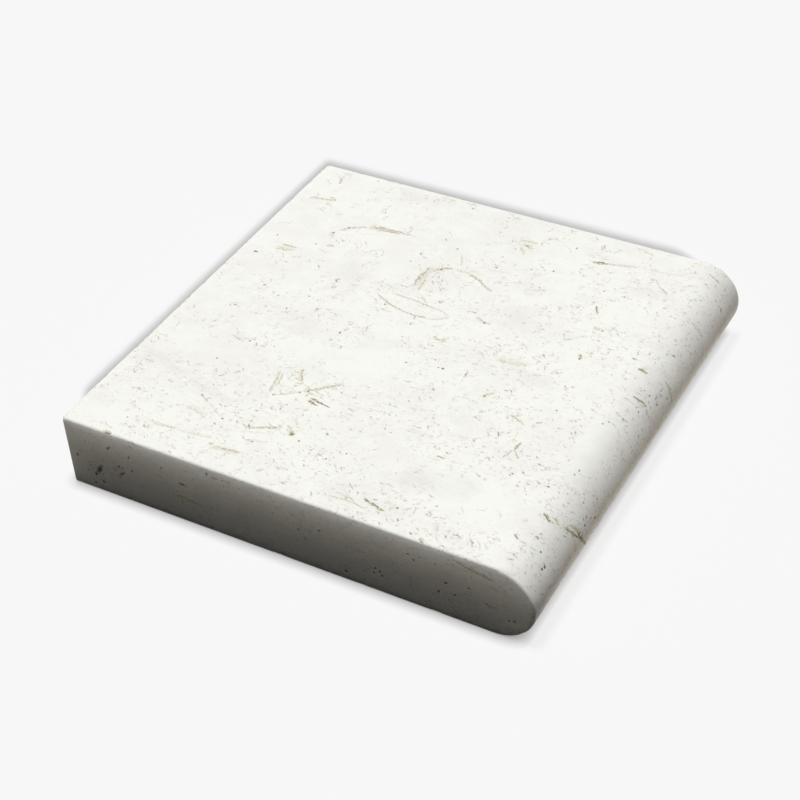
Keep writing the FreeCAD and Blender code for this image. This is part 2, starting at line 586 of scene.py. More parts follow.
# Open pits that can be told apart: place, length, width, heading, depth and how stained
FACE_PITS = (
    Pit(-140.5, 40, 4.2, 2.0, 0, 0.9, 1.2),
    Pit(-98.6, 89.6, 2.8, 2.4, 30, 0.8),
    Pit(-105, 80.4, 2.6, 2.0, 0, 0.7),
    Pit(-82.8, 12, 1.9, 1.5, 0, 0.7),
    Pit(-115, 10.6, 3.0, 1.4, 165, 0.7),
    Pit(-71, 2.2, 2.2, 1.8, 0, 0.7),
    Pit(-109, 64, 2.0, 1.4, 0, 0.6),
    Pit(-137.6, 62.4, 2.0, 1.5, 0, 0.6),
    Pit(-20.6, 73.4, 1.9, 1.6, 0, 0.6),
    Pit(-21.8, 98, 1.9, 1.6, 0, 0.6),
    Pit(-35, 25, 2.0, 1.8, 0, 0.7),
    Pit(18, 120.2, 2.4, 2.0, 0, 0.8),
    Pit(48, 131.2, 1.6, 2.2, 0, 0.7),
    Pit(45.2, 101.6, 1.7, 2.2, 0, 0.7),
    Pit(10.4, 90, 2.4, 1.8, 0, 0.6),
    Pit(82, 81.8, 1.7, 1.4, 0, 0.6),
    Pit(98.4, 57.4, 1.6, 1.4, 0, 0.7),
    Pit(100, 47.4, 1.6, 1.6, 0, 0.6),
    Pit(82.8, 95.4, 1.6, 1.4, 0, 0.5),
    Pit(29.8, 34, 2.2, 1.9, 0, 0.8),
    Pit(145.2, 60, 3.0, 1.7, 20, 0.8),
    Pit(146.6, 20, 1.5, 2.4, 0, 0.8),
    Pit(143.8, 5, 1.5, 1.5, 0, 0.7),
    Pit(146.4, 3.6, 1.8, 1.5, 0, 0.8),
    Pit(158, 33, 2.0, 1.8, 0, 0.8),
    Pit(154, 21, 2.0, 2.2, 0, 0.7),
    Pit(-89, -5, 1.9, 1.6, 0, 0.6),
    Pit(-45.8, -12.4, 1.6, 3.2, 0, 0.7),
    Pit(-120.6, -15.6, 2.2, 1.6, 40, 0.6),
    Pit(-91.6, -43.4, 1.8, 2.0, 0, 0.7),
    Pit(-100.6, -66.4, 1.9, 1.5, 0, 0.6),
    Pit(-51, -81.4, 1.6, 1.6, 0, 0.6),
    Pit(-37.8, -73, 1.5, 1.5, 0, 0.6),
    Pit(-33.6, -70, 1.8, 1.8, 0, 0.7),
    Pit(-89, -99.6, 1.9, 2.0, 0, 0.7),
    Pit(-22.6, -107, 1.9, 2.8, 0, 0.9, 1.2),
    Pit(-15.6, -110.4, 2.0, 1.8, 0, 0.7),
    Pit(-66, -112.6, 1.7, 1.9, 0, 0.6),
    Pit(-39.6, -122.4, 1.9, 1.3, 0, 0.6),
    Pit(-4, -98.2, 2.6, 1.5, 0, 0.6),
    Pit(27.6, -16.8, 2.4, 2.0, 0, 0.9, 1.2),
    Pit(24.8, -17, 1.6, 1.6, 0, 0.6),
    Pit(42.6, -15.8, 2.0, 2.6, 0, 0.6),
    Pit(61.6, -29.2, 2.4, 1.9, 30, 0.8),
    Pit(104.8, -23, 1.6, 1.6, 0, 0.6),
    Pit(5, -20.8, 1.9, 1.6, 0, 0.6),
    Pit(105.6, -82.6, 1.7, 1.9, 0, 0.7),
    Pit(127.8, -83.6, 2.6, 1.7, 165, 0.8),
    Pit(14.4, -108, 1.6, 1.6, 0, 0.6),
    Pit(6.2, -116.8, 1.5, 1.8, 0, 0.6),
    Pit(61.8, -134.6, 2.0, 2.0, 0, 0.7),
    Pit(144.6, -126, 1.8, 1.8, 0, 0.8),
    Pit(151.2, -130.8, 1.9, 3.0, 30, 1.0, 1.2),
    Pit(150.6, -133.4, 2.2, 2.0, 0, 0.9, 1.2),
    Pit(133, -21.6, 1.7, 1.5, 0, 0.7),
    Pit(135.4, -18, 1.6, 1.5, 0, 0.6),
    Pit(137, -62.6, 1.4, 2.0, 0, 0.7),
    Pit(136.2, -67, 1.5, 1.5, 0, 0.6),
    Pit(158.8, -86.4, 1.9, 2.6, 0, 0.8),
    Pit(162.4, -75, 1.9, 3.0, 160, 0.8),
)

# Open pits on the near end, in X and Z
END_PITS = (
    Pit(-131, 17, 3.0, 6.4, -35, 1.2, 1.2),
    Pit(-134, 12.4, 1.9, 3.0, -30, 0.9, 1.1),
    Pit(-136.2, 4.8, 2.4, 1.9, 0, 0.8),
    Pit(-129.6, 8, 1.9, 3.2, 0, 0.9),
    Pit(-115.4, 25.8, 1.9, 2.6, -30, 0.8),
    Pit(-113, 25, 1.6, 1.9, 0, 0.7),
    Pit(-114, 20.4, 1.6, 4.4, -40, 0.9),
    Pit(-106, 25.6, 1.7, 2.8, -20, 0.8),
    Pit(-106.6, 36, 1.8, 2.6, 0, 0.7),
    Pit(-121, 37.8, 1.6, 3.4, -50, 0.8),
    Pit(-70, 29.2, 3.0, 1.7, 0, 0.8),
    Pit(-51.2, 45, 2.0, 3.0, 0, 0.8),
    Pit(-83.6, 37, 2.2, 1.6, 0, 0.7),
    Pit(-146, 23.4, 2.2, 3.4, 0, 0.7),
    Pit(56, 17.6, 2.2, 1.9, 0, 0.9, 1.2),
    Pit(58.8, 16.4, 1.9, 2.2, 0, 0.9, 1.2),
    Pit(55, 14, 1.9, 2.4, 0, 0.8),
    Pit(60, 13.6, 2.2, 1.8, 0, 0.8),
    Pit(99.8, 25.9, 3.0, 1.8, 10, 1.0, 1.2),
    Pit(95.2, 17.4, 1.8, 2.8, -20, 0.9),
    Pit(105, 19, 1.6, 2.2, 0, 0.7),
    Pit(80.6, 34.8, 2.8, 1.9, 160, 0.9),
    Pit(77.2, 37.8, 2.6, 1.5, 0, 0.7),
    Pit(140.4, 14.8, 2.0, 1.9, 0, 0.9),
    Pit(137.2, 14.2, 1.9, 1.7, 0, 0.8),
    Pit(21.4, 31.4, 2.2, 1.8, 0, 0.7),
    Pit(7.6, 26.6, 2.6, 1.5, 150, 0.7),
    Pit(36.4, 7, 1.8, 2.2, 0, 0.7),
    Pit(113.6, 28, 1.8, 1.8, 0, 0.6),
)


@dataclass
class PointSheet:
    """Points on one flat or unrolled patch of the stone, with how deep each is sunk and stained."""

    places: list[np.ndarray] = field(default_factory=list)
    depths: list[np.ndarray] = field(default_factory=list)
    stains: list[np.ndarray] = field(default_factory=list)

    def add(self, places: np.ndarray) -> None:
        """Adds points that lie on the patch.

        Args:
            places: The points.
        """
        self.places.append(places)
        self.depths.append(np.zeros(len(places)))
        self.stains.append(np.zeros(len(places)))

    def add_pit(self, pit: Pit, rng: np.random.Generator) -> None:
        """Adds a pit's rings.

        Args:
            pit: The pit.
            rng: Roughens its outline.
        """
        places, shares = pit.rings(rng)
        self.places.append(places)
        self.depths.append(shares * pit.depth * PIT_DEPTH)
        self.stains.append(np.clip(shares, 0, 1) * pit.tone)

    def joined(self) -> tuple[np.ndarray, np.ndarray, np.ndarray]:
        """All points, depths and stains as arrays."""
        return np.concatenate(self.places), np.concatenate(self.depths), np.concatenate(self.stains)


def outside_pits(places: np.ndarray, pits: Iterable[Pit]) -> np.ndarray:
    """The points that no pit's rim reaches.

    Args:
        places: Points on a patch.
        pits: The pits of that patch.

    Returns:
        The points that stay.
    """
    stays = np.ones(len(places), bool)
    for pit in pits:
        stays &= np.abs(places - (pit.x, pit.y)).max(axis=1) >= pit.reach + PIT_MARGIN
    return places[stays]


def pairs(first: np.ndarray, second: np.ndarray) -> np.ndarray:
    """Points from two grids of coordinates."""
    return np.stack([first.ravel(), second.ravel()], axis=1)


@dataclass(frozen=True)
class Pores:
    """Small open pits strewn over a patch: how many are tried, and their shortest and longest length.

    The margins stay clear at the patch's two ends along the section. Some pores lie in swarms. Breadths for
    each millimetre of length, depths and stains are a least value and what chance may add to it.
    """

    count: int
    shortest: float
    longest: float
    margins: tuple[float, float] = (0.0, 0.0)
    to_a_swarm: int = 24
    fewest_swarms: int = 3
    swarm_share: float = 0.55
    swarm_spread: float = 8.0
    shortness: float = 2.2
    breadths: tuple[float, float] = (0.55, 0.4)
    depths: tuple[float, float] = (0.06, 0.10)
    stains: tuple[float, float] = (0.25, 0.5)
    gap: float = 0.3

    def strewn(
        self,
        rng: np.random.Generator,
        low: tuple[float, float],
        high: tuple[float, float],
        taken: Iterable[Pit],
    ) -> list[Pit]:
        """Strews the pores, clear of each other and of other pits.

        Args:
            rng: The source of chance.
            low: The patch's lowest corner.
            high: The patch's highest corner.
            taken: Pits that are already there.

        Returns:
            The pits that found room.
        """
        first = np.array(low) + (self.margins[0], 0)
        last = np.array(high) - (self.margins[1], 0)
        swarm_count = max(self.fewest_swarms, self.count // self.to_a_swarm)
        swarms = first + rng.random((swarm_count, 2)) * (last - first)
        kept, rest = [], list(taken)
        for _ in range(self.count):
            if rng.random() < self.swarm_share:
                place = swarms[rng.integers(len(swarms))] + rng.normal(0, self.swarm_spread, 2)
            else:
                place = first + rng.random(2) * (last - first)
            length = self.shortest + (self.longest - self.shortest) * rng.random() ** self.shortness
            width = length * (self.breadths[0] + self.breadths[1] * rng.random())
            heading = rng.random() * 180
            depth = self.depths[0] + self.depths[1] * length * rng.random()
            stain = self.stains[0] + self.stains[1] * rng.random()
            pore = Pit(place[0], place[1], length, width, heading, depth, stain)
            inside = np.all(place - pore.reach > first) and np.all(place + pore.reach < last)
            clear = all(
                math.hypot(pit.x - pore.x, pit.y - pore.y) > pit.reach + pore.reach + self.gap for pit in rest
            )
            if inside and clear:
                kept.append(pore)
                rest.append(pore)
        return kept


FACE_PORES = Pores(260, 0.5, 1.3, (2.0, 0.0))
NOSE_PORES = Pores(130, 0.6, 1.6, (0.0, 8.0))
BACK_PORES = Pores(170, 0.8, 2.6, (1.0, 1.0))
BED_PORES = Pores(90, 1.2, 3.2, (8.0, 8.0))
END_PORES = Pores(230, 0.7, 2.0)


@dataclass(frozen=True)
class TexturePatch:
    """Where a patch of the stone lies on its texture: the corner it starts from, and its scale."""

    corner: tuple[float, float]
    start: tuple[float, float]
    scale: float

    def spread(self, places: np.ndarray) -> np.ndarray:
        """Texture places of points on the patch, from 0 to 1."""
        return (np.array(self.corner) + (places - np.array(self.start)) * self.scale) / TEXTURE_SIDE


# The texture's side in pixels, its pixels to a millimetre, and the corner where each patch starts on it
TEXTURE_SIDE = 1024
SHOWN_SCALE, BED_SCALE = 2.36, 0.85
SHOWN_CORNER, BACK_CORNER, BED_CORNER = (6, 6), (868, 6), (6, 740)
NEAR_END_CORNER, FAR_END_CORNER = (250, 740), (250, 862)


@dataclass
class TileStone:
    """The tile's stone: its sizes in millimetres, its mesh and its finishes.

    The steps are the mesh's spacing on each face, and the looseness is how far its rows are shaken, in steps.
    The end margin and the end reach say how near an end's outline its points and pores come.
    """

    width: float
    length: float
    thickness: float
    arris: float = 1.5
    face_step: float = 3.0
    nose_step: float = 2.0
    bed_step: float = 7.0
    arris_step: float = 1.5
    arris_parts: int = 4
    support: float = 0.5
    looseness: float = 0.5
    end_margin: float = 1.0
    end_reach: float = 12.0
    shortest_edge: float = 0.02
    seed: int = 12

    @property
    def section(self) -> Section:
        """The tile's cross-section."""
        return Section(self.width, self.thickness, self.arris)

    @property
    def straight(self) -> float:
        """Half the length between the two ends' arrises."""
        return self.length / 2 - self.arris

    @property
    def end_across(self) -> float:
        """Where the unrolled stone meets an end's flat."""
        return self.straight + self.arris * math.pi / 2

    def place(self, places: np.ndarray) -> tuple[np.ndarray, np.ndarray]:
        """Rolls unrolled points back on to the stone.

        Args:
            places: Points as the distance along the section and the distance across the tile.

        Returns:
            The points and the outward normals there, in X, Y and Z.
        """
        point, normal = self.section.locate(places[:, 0])
        side = np.sign(places[:, 1])
        turn = np.clip(np.abs(places[:, 1]) - self.straight, 0, None) / self.arris
        inset = self.arris * (1 - np.cos(turn))
        flat = point - inset[:, None] * normal
        y = side * (np.minimum(np.abs(places[:, 1]), self.straight) + self.arris * np.sin(turn))
        spot = np.stack([flat[:, 0], y, flat[:, 1]], axis=1)
        up = np.stack([normal[:, 0] * np.cos(turn), side * np.sin(turn), normal[:, 1] * np.cos(turn)], axis=1)
        return spot, up

    def columns(self, fine: bool) -> np.ndarray:
        """Places along the section where rows of points stand.

        Args:
            fine: True for the close spacing beside the ends.

        Returns:
            The distances, from one side of the seam in the bed round to the other.
        """
        steps = {"face": self.face_step, "nose": self.nose_step, "bed": self.bed_step, "back": self.face_step}
        spans, found = self.section.spans(), []
        for name, (low, high) in spans.items():
            parts = self.arris_parts
            if name in steps:
                step = steps[name]
                if fine:
                    step = min(step, self.arris_step * (2 if name == "bed" else 1))
                parts = max(1, round((high - low) / step))
            found.append(np.linspace(low, high, parts, endpoint=False))
        for name in ("face", "bed", "back"):
            low, high = spans[name]
            found.append(np.array([low + self.support, high - self.support]))
        return self.from_seam(np.unique(np.concatenate(found).round(6)))

    def from_seam(self, along: np.ndarray) -> np.ndarray:
        """Counts places from the seam, which runs down the middle of the bed.

        Args:
            along: Distances along the section.

        Returns:
            The same places in order, with both sides of the seam.
        """
        girth, seam = self.section.girth, self.seam
        shifted = np.sort(np.where(along > seam - NEAR_ZERO, along - girth, along))
        inner = shifted[(shifted > seam - girth + self.support) & (shifted < seam - self.support)]
        return np.concatenate([[seam - girth], inner, [seam]])

    @property
    def seam(self) -> float:
        """The middle of the bed, where the unrolled stone is cut open."""
        low, high = self.section.spans()["bed"]
        return (low + high) / 2

    def nicks(self, rng: np.random.Generator) -> list[Nick]:
        """Knocks along the arrises, and the worn corner at the back.

        Args:
            rng: The source of chance.

        Returns:
            The nicks.
        """
        spans = self.section.spans()
        face, nose, back = spans["face"], spans["nose"], spans["back"]
        end_edge = self.straight + self.arris * math.pi / 4
        top_edge = face[0] - self.arris * math.pi / 4
        low_edge = top_edge - (back[1] - back[0]) - self.arris * math.pi / 2
        shown, bed = (face[0], nose[1]), (nose[1], nose[1] + face[1] - face[0])
        found = []
        for side in (-1, 1):
            for knocks, stretch in ((END_FACE_KNOCKS, shown), (END_BED_KNOCKS, bed)):
                for _ in range(knocks.count):
                    along = rng.uniform(*stretch)
                    length = rng.uniform(knocks.shortest, knocks.longest)
                    depth = END_KNOCK_DEPTH + END_KNOCK_GROWTH * length * rng.random()
                    found.append(Nick(along, side * end_edge, length, knocks.breadth, depth))
            for edge in (top_edge, low_edge):
                for _ in range(BACK_KNOCKS.count):
                    depth = rng.uniform(*BACK_KNOCK_DEPTHS)
                    across = side * rng.uniform(BACK_KNOCKS_FROM, self.straight)
                    length = rng.uniform(BACK_KNOCKS.shortest, BACK_KNOCKS.longest)
                    found.append(Nick(edge, across, BACK_KNOCKS.breadth, length, depth))
        for _ in range(FACE_KNOCKS.count):
            across = rng.uniform(-FACE_KNOCKS_WITHIN, FACE_KNOCKS_WITHIN)
            length = rng.uniform(FACE_KNOCKS.shortest, FACE_KNOCKS.longest)
            depth = rng.uniform(*FACE_KNOCK_DEPTHS)
            found.append(Nick(top_edge, across, FACE_KNOCKS.breadth, length, depth))
        # The two corners at the back, of which the far one is worn most
        found.append(Nick(top_edge, end_edge, 5.0, 5.0, 0.8))
        found.append(Nick(top_edge, end_edge - 5, 3.0, 6.0, 0.3))
        found.append(Nick(top_edge, -end_edge, 4.0, 4.0, 0.5))
        return found

    def sleeve_sheet(self, rng: np.random.Generator) -> PointSheet:
        """Points of the unrolled stone: the face, nose, bed and back with the arrises at both ends.

        Args:
            rng: The source of chance.

        Returns:
            The points.
        """
        spans, girth = self.section.spans(), self.section.girth
        face, nose, back, bed = spans["face"], spans["nose"], spans["back"], spans["bed"]
        rim = self.straight - self.support
        pits = list(FACE_PITS)
        for pores, low, high in (
            (FACE_PORES, face[0], nose[0]),
            (NOSE_PORES, nose[0], nose[1]),
            (BACK_PORES, back[0] - girth, back[1] - girth),
            (BED_PORES, bed[0], self.seam),
            (BED_PORES, self.seam - girth, bed[1] - girth),
        ):
            pits += pores.strewn(rng, (low, -rim), (high, rim), pits)
        sheet = PointSheet()
        rows = np.linspace(-rim, rim, round(2 * rim / self.face_step) + 1)
        along, across = np.meshgrid(self.columns(fine=False), rows[1:-1])
        loose = (rng.random(along.shape) - 0.5) * self.looseness * self.face_step
        loose[:, [0, -1]] = 0
        sheet.add(outside_pits(pairs(along, across + loose), pits))
        turns = self.straight + self.arris * np.linspace(0, math.pi / 2, self.arris_parts + 1)
        ends = np.concatenate([[rim], turns])
        along, across = np.meshgrid(self.columns(fine=True), np.concatenate([-ends[::-1], ends]))
        sheet.add(outside_pits(pairs(along, across), pits))
        rounds = []
        for name in ("back_arris", "bed_arris"):
            low, high = np.array(spans[name]) - girth
            rounds.append(np.linspace(low, high, self.arris_parts + 1))
        steps = np.arange(-rim + self.arris_step, rim, self.arris_step)
        along, across = np.meshgrid(np.concatenate(rounds), steps)
        sheet.add(pairs(along, across))
        for pit in pits:
            sheet.add_pit(pit, rng)
        return sheet

    def end_sheet(self, rng: np.random.Generator, outline: np.ndarray, pits: Iterable[Pit]) -> PointSheet:
        """Points of one flat end.

        Args:
            rng: The source of chance.
            outline: The end's outline in X and Z.
            pits: Its larger pits.

        Returns:
            The points, with the outline first.
        """
        low, high = outline.min(axis=0), outline.max(axis=0)
        nose_start = self.section.nose_start
        inner_low = (low[0] + self.end_margin, low[1] + self.end_margin)
        inner_high = (nose_start + self.end_reach, high[1] - self.end_margin)
        all_pits = list(pits)
        all_pits += END_PORES.strewn(rng, inner_low, inner_high, all_pits)
        sheet = PointSheet()
        sheet.add(outline)
        columns = np.arange(low[0] + self.face_step, high[0] - self.end_margin, self.face_step)
        rows = np.linspace(low[1], high[1], round((high[1] - low[1]) / self.face_step) + 1)[1:-1]
        x, z = np.meshgrid(columns, rows)
        x = x + (rng.random(x.shape) - 0.5) * self.looseness * self.face_step
        grid = pairs(x, z)
        reach = self.section.nose_radius - self.arris - self.end_margin
        beyond = np.hypot(grid[:, 0] - nose_start, grid[:, 1] - self.section.nose_radius) > reach
        grid = grid[~((grid[:, 0] > nose_start) & beyond)]
        sheet.add(outside_pits(grid, all_pits))
        for pit in all_pits:
            sheet.add_pit(pit, rng)
        return sheet

    def build(self) -> bpy.types.Object:
        """Makes the stone's mesh.

        Returns:
            The new object, in metres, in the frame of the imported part.
        """
        rng = np.random.default_rng(self.seed)
        mesh = StoneMesh()
        nicks = self.nicks(rng)
        sleeve, depth, stain = self.sleeve_sheet(rng).joined()
        spots, normals = self.place(sleeve)
        for nick in nicks:
            depth = depth + nick.bite(sleeve[:, 0], sleeve[:, 1])
        spots = spots - depth[:, None] * normals
        triangles = triangulate(sleeve)
        finish = self.sleeve_finish(sleeve[triangles].mean(axis=1)[:, 0])
        fields = fragment_fields(FACE_FRAGMENTS, sleeve)
        mesh.add(spots, triangles, finish, stain, fields, self.sleeve_texture(sleeve, triangles))
        near_end = (-1, END_PITS, END_FRAGMENTS, NEAR_END_CORNER)
        far_end = (1, (), (), FAR_END_CORNER)
        for side, pits, fragments, corner in (near_end, far_end):
            on_edge = np.abs(sleeve[:, 1] - side * self.end_across) < NEAR_ZERO
            order = np.argsort(sleeve[on_edge, 0])
            ring = spots[on_edge][order]
            ring = ring[np.linalg.norm(ring - np.roll(ring, 1, axis=0), axis=1) > self.shortest_edge]
            places, depth, stain = self.end_sheet(rng, ring[:, [0, 2]], pits).joined()
            y = side * (self.length / 2 - depth)
            y[: len(ring)] = ring[:, 1]
            end_spots = np.stack([places[:, 0], y, places[:, 1]], axis=1)
            triangles = triangulate(places, len(ring))
            patch = TexturePatch(corner, (-self.width / 2, 0), SHOWN_SCALE)
            finish = np.full(len(triangles), Finish.SAWN.value)
            fields = fragment_fields(fragments, places)
            spread = patch.spread(places)[triangles]
            if side > 0:
                triangles, spread = triangles[:, ::-1], spread[:, ::-1]
            mesh.add(end_spots, triangles, finish, stain, fields, spread)
        return mesh.make("limestone_slab")

    def dress(self, slab: bpy.types.Object, colours: "LimestoneColours") -> None:
        """Gives the stone its finishes, in the order of their places on the mesh.

        Args:
            slab: The stone.
            colours: Its colours.
        """
        stone, saw = limestone_group(colours), saw_group()
        for finish in Finish:
            slab.data.materials.append(FINISHES[finish].material(stone, saw))

    def sleeve_finish(self, along: np.ndarray) -> np.ndarray:
        """How each place along the section is worked.

        Args:
            along: Distances along the section.

        Returns:
            The finish's value at each place.
        """
        place = self.section.wrapped(along)
        spans = self.section.spans()
        on_bed = (place > spans["bed"][0]) & (place < spans["bed"][1])
        on_back = (place >= spans["bed"][1]) & (place < spans["back"][1])
        return np.select([on_bed, on_back], [Finish.BED.value, Finish.SAWN.value], Finish.HONED.value)

    def sleeve_texture(self, sleeve: np.ndarray, triangles: np.ndarray) -> np.ndarray:
        """Lays the unrolled stone out on the texture: face and nose, back and bed.

        Args:
            sleeve: The unrolled points.
            triangles: The triangles between them.

        Returns:
            A place on the texture for each corner of each triangle.
        """
        spans, girth = self.section.spans(), self.section.girth
        middle = self.section.wrapped(sleeve[triangles].mean(axis=1)[:, 0])
        low = -self.end_across
        shown = TexturePatch(SHOWN_CORNER, (spans["back_arris"][0] - girth, low), SHOWN_SCALE)
        back = TexturePatch(BACK_CORNER, (spans["bed_arris"][0], low), SHOWN_SCALE)
        bed = TexturePatch(BED_CORNER, (spans["bed"][0], low), BED_SCALE)
        corners = sleeve[triangles].copy()
        turns = np.round((corners[:, :, 0].mean(axis=1) - middle) / girth)
        corners[:, :, 0] -= turns[:, None] * girth
        on_back = (middle >= spans["bed"][1]) & (middle < spans["back"][1])
        on_arris = middle >= spans["back"][1]
        corners[on_arris, :, 0] -= girth
        on_shown = (middle < spans["nose"][1]) | on_arris
        spread = bed.spread(corners)
        spread[on_back] = back.spread(corners[on_back])
        spread[on_shown] = shown.spread(corners[on_shown])
        return spread


def triangulate(places: np.ndarray, outline: int = 0) -> np.ndarray:
    """Joins points into triangles.

    Args:
        places: The points of one patch.
        outline: How many of the first points are the patch's outline, or 0 if it is a rectangle.

    Returns:
        The triangles, as three point numbers each, turning anticlockwise.
    """
    points = [Vector((float(x), float(y))) for x, y in places]
    faces = [list(range(outline))] if outline else []
    made = delaunay_2d_cdt(points, [], faces, TRIANGLES_INSIDE if outline else TRIANGLES_ALL, JOIN_LIMIT)
    source = np.array([origin[0] for origin in made[3]])
    return source[np.array(made[2])]


# Which triangles the joining keeps: all of them, or those inside the outline
TRIANGLES_ALL, TRIANGLES_INSIDE = 0, 1

# Layers of fragment fields, by kind, so that neighbours don't share a field
LAYERS = {Kind.SLIVER: 3, Kind.SHELL: 1, Kind.GHOST: 2, Kind.BARE: 1}
# A field's value away from all fragments, how far a field runs beyond its fragment, and how much wider
# fragments are drawn than their rows say
NOWHERE = (3.0, 9.0, 0.0)
FIELD_MARGIN = 5.0
DRAWN_WIDTH = 1.25


def layer_names(*kinds: Kind) -> list[str]:
    """The names of some kinds' fragment fields on the mesh, or of all."""
    return [f"{kind.value}_{number}" for kind in kinds or LAYERS for number in range(LAYERS[kind])]


def fragment_fields(fragments: Iterable[Fragment], places: np.ndarray) -> dict[str, np.ndarray]:
    """Fields that place each fragment on the mesh.

    Args:
        fragments: The fragments on one patch.
        places: The patch's points.

    Returns:
        For each layer, three numbers a point: along and beside the fragment there, and its tone.
    """
    fields = {name: np.tile(np.array(NOWHERE), (len(places), 1)) for name in layer_names()}
    used = {name: np.zeros(len(places), bool) for name in fields}
    for number, fragment in enumerate(fragments):
        along, beside = fragment.field_at(places)
        # Two fragments in three have their darker rim on the other side
        beside = beside * (-1) ** (number * number % 3)
        narrowed = 1 - fragment.taper * np.clip((along + 1) / 2, 0, 1)
        half_width = fragment.width * DRAWN_WIDTH / 2 * narrowed
        near = np.abs(along) < 1 + FIELD_MARGIN / fragment.half
        near &= np.abs(beside) < half_width + FIELD_MARGIN
        name = min(layer_names(fragment.kind), key=lambda layer: int((used[layer] & near).sum()))
        crowded = used[name] & near
        closer = near & ~crowded
        closer |= crowded & (np.abs(beside) / half_width < np.abs(fields[name][:, 1]))
        fields[name][closer] = np.stack(
            [along, beside / half_width, np.full(len(places), fragment.tone)], axis=1
        )[closer]
        used[name] |= near
    return fields


# Points in the same one of these steps to a millimetre are welded
WELD_STEPS = 1000


@dataclass
class StoneMesh:
    """Gathers the stone's patches into one mesh whose patches share their edges."""

    spots: list[np.ndarray] = field(default_factory=list)
    triangles: list[np.ndarray] = field(default_factory=list)
    finishes: list[np.ndarray] = field(default_factory=list)
    stains: list[np.ndarray] = field(default_factory=list)
    fields: list[dict[str, np.ndarray]] = field(default_factory=list)
    spreads: list[np.ndarray] = field(default_factory=list)
    count: int = 0

    def add(
        self,
        spots: np.ndarray,
        triangles: np.ndarray,
        finish: np.ndarray,
        stain: np.ndarray,
        fields: dict[str, np.ndarray],
        spread: np.ndarray,
    ) -> None:
        """Adds a patch.

        Args:
            spots: Its points.
            triangles: Its triangles.
            finish: Each triangle's finish.
            stain: Each point's stain.
            fields: The fragment fields on its points.
            spread: Each triangle corner's place on the texture.
        """
        self.spots.append(spots)
        self.triangles.append(triangles + self.count)
        self.finishes.append(finish)
        self.stains.append(stain)
        self.fields.append(fields)
        self.spreads.append(spread)
        self.count += len(spots)

    def make(self, name: str) -> bpy.types.Object:
        """Welds the patches and makes the object.

        Args:
            name: The piece's name.

        Returns:
            The new object.
        """
        spots = np.concatenate(self.spots)
        keys = np.round(spots * WELD_STEPS).astype(np.int64)
        _, first, weld = np.unique(keys, axis=0, return_index=True, return_inverse=True)
        weld = weld.ravel()
        triangles = weld[np.concatenate(self.triangles)]
        a, b, c = triangles.T
        real = (a != b) & (b != c) & (a != c)
        triangles = triangles[real]
        mesh = bpy.data.meshes.new(name)
        mesh.from_pydata((spots[first] * MM).tolist(), [], triangles.tolist())
        mesh.polygons.foreach_set("material_index", np.concatenate(self.finishes)[real].astype(np.int32))
        mesh.polygons.foreach_set("use_smooth", np.ones(len(triangles), bool))
        stain = mesh.attributes.new("stain", "FLOAT", "POINT")
        stain.data.foreach_set("value", np.concatenate(self.stains)[first].astype(np.float32))
        for layer in layer_names():
            values = np.concatenate([fields[layer] for fields in self.fields])[first]
            attribute = mesh.attributes.new(layer, "FLOAT_VECTOR", "POINT")
            attribute.data.foreach_set("vector", values.astype(np.float32).ravel())
        texture = mesh.uv_layers.new(name="OFBake")
        texture.data.foreach_set("uv", np.concatenate(self.spreads)[real].astype(np.float32).ravel())
        mesh.update()
        slab = bpy.data.objects.new(name, mesh)
        bpy.context.scene.collection.objects.link(slab)
        LOG.info("%s: %d points, %d triangles", name, len(first), len(triangles))
        return slab


# The stone's look


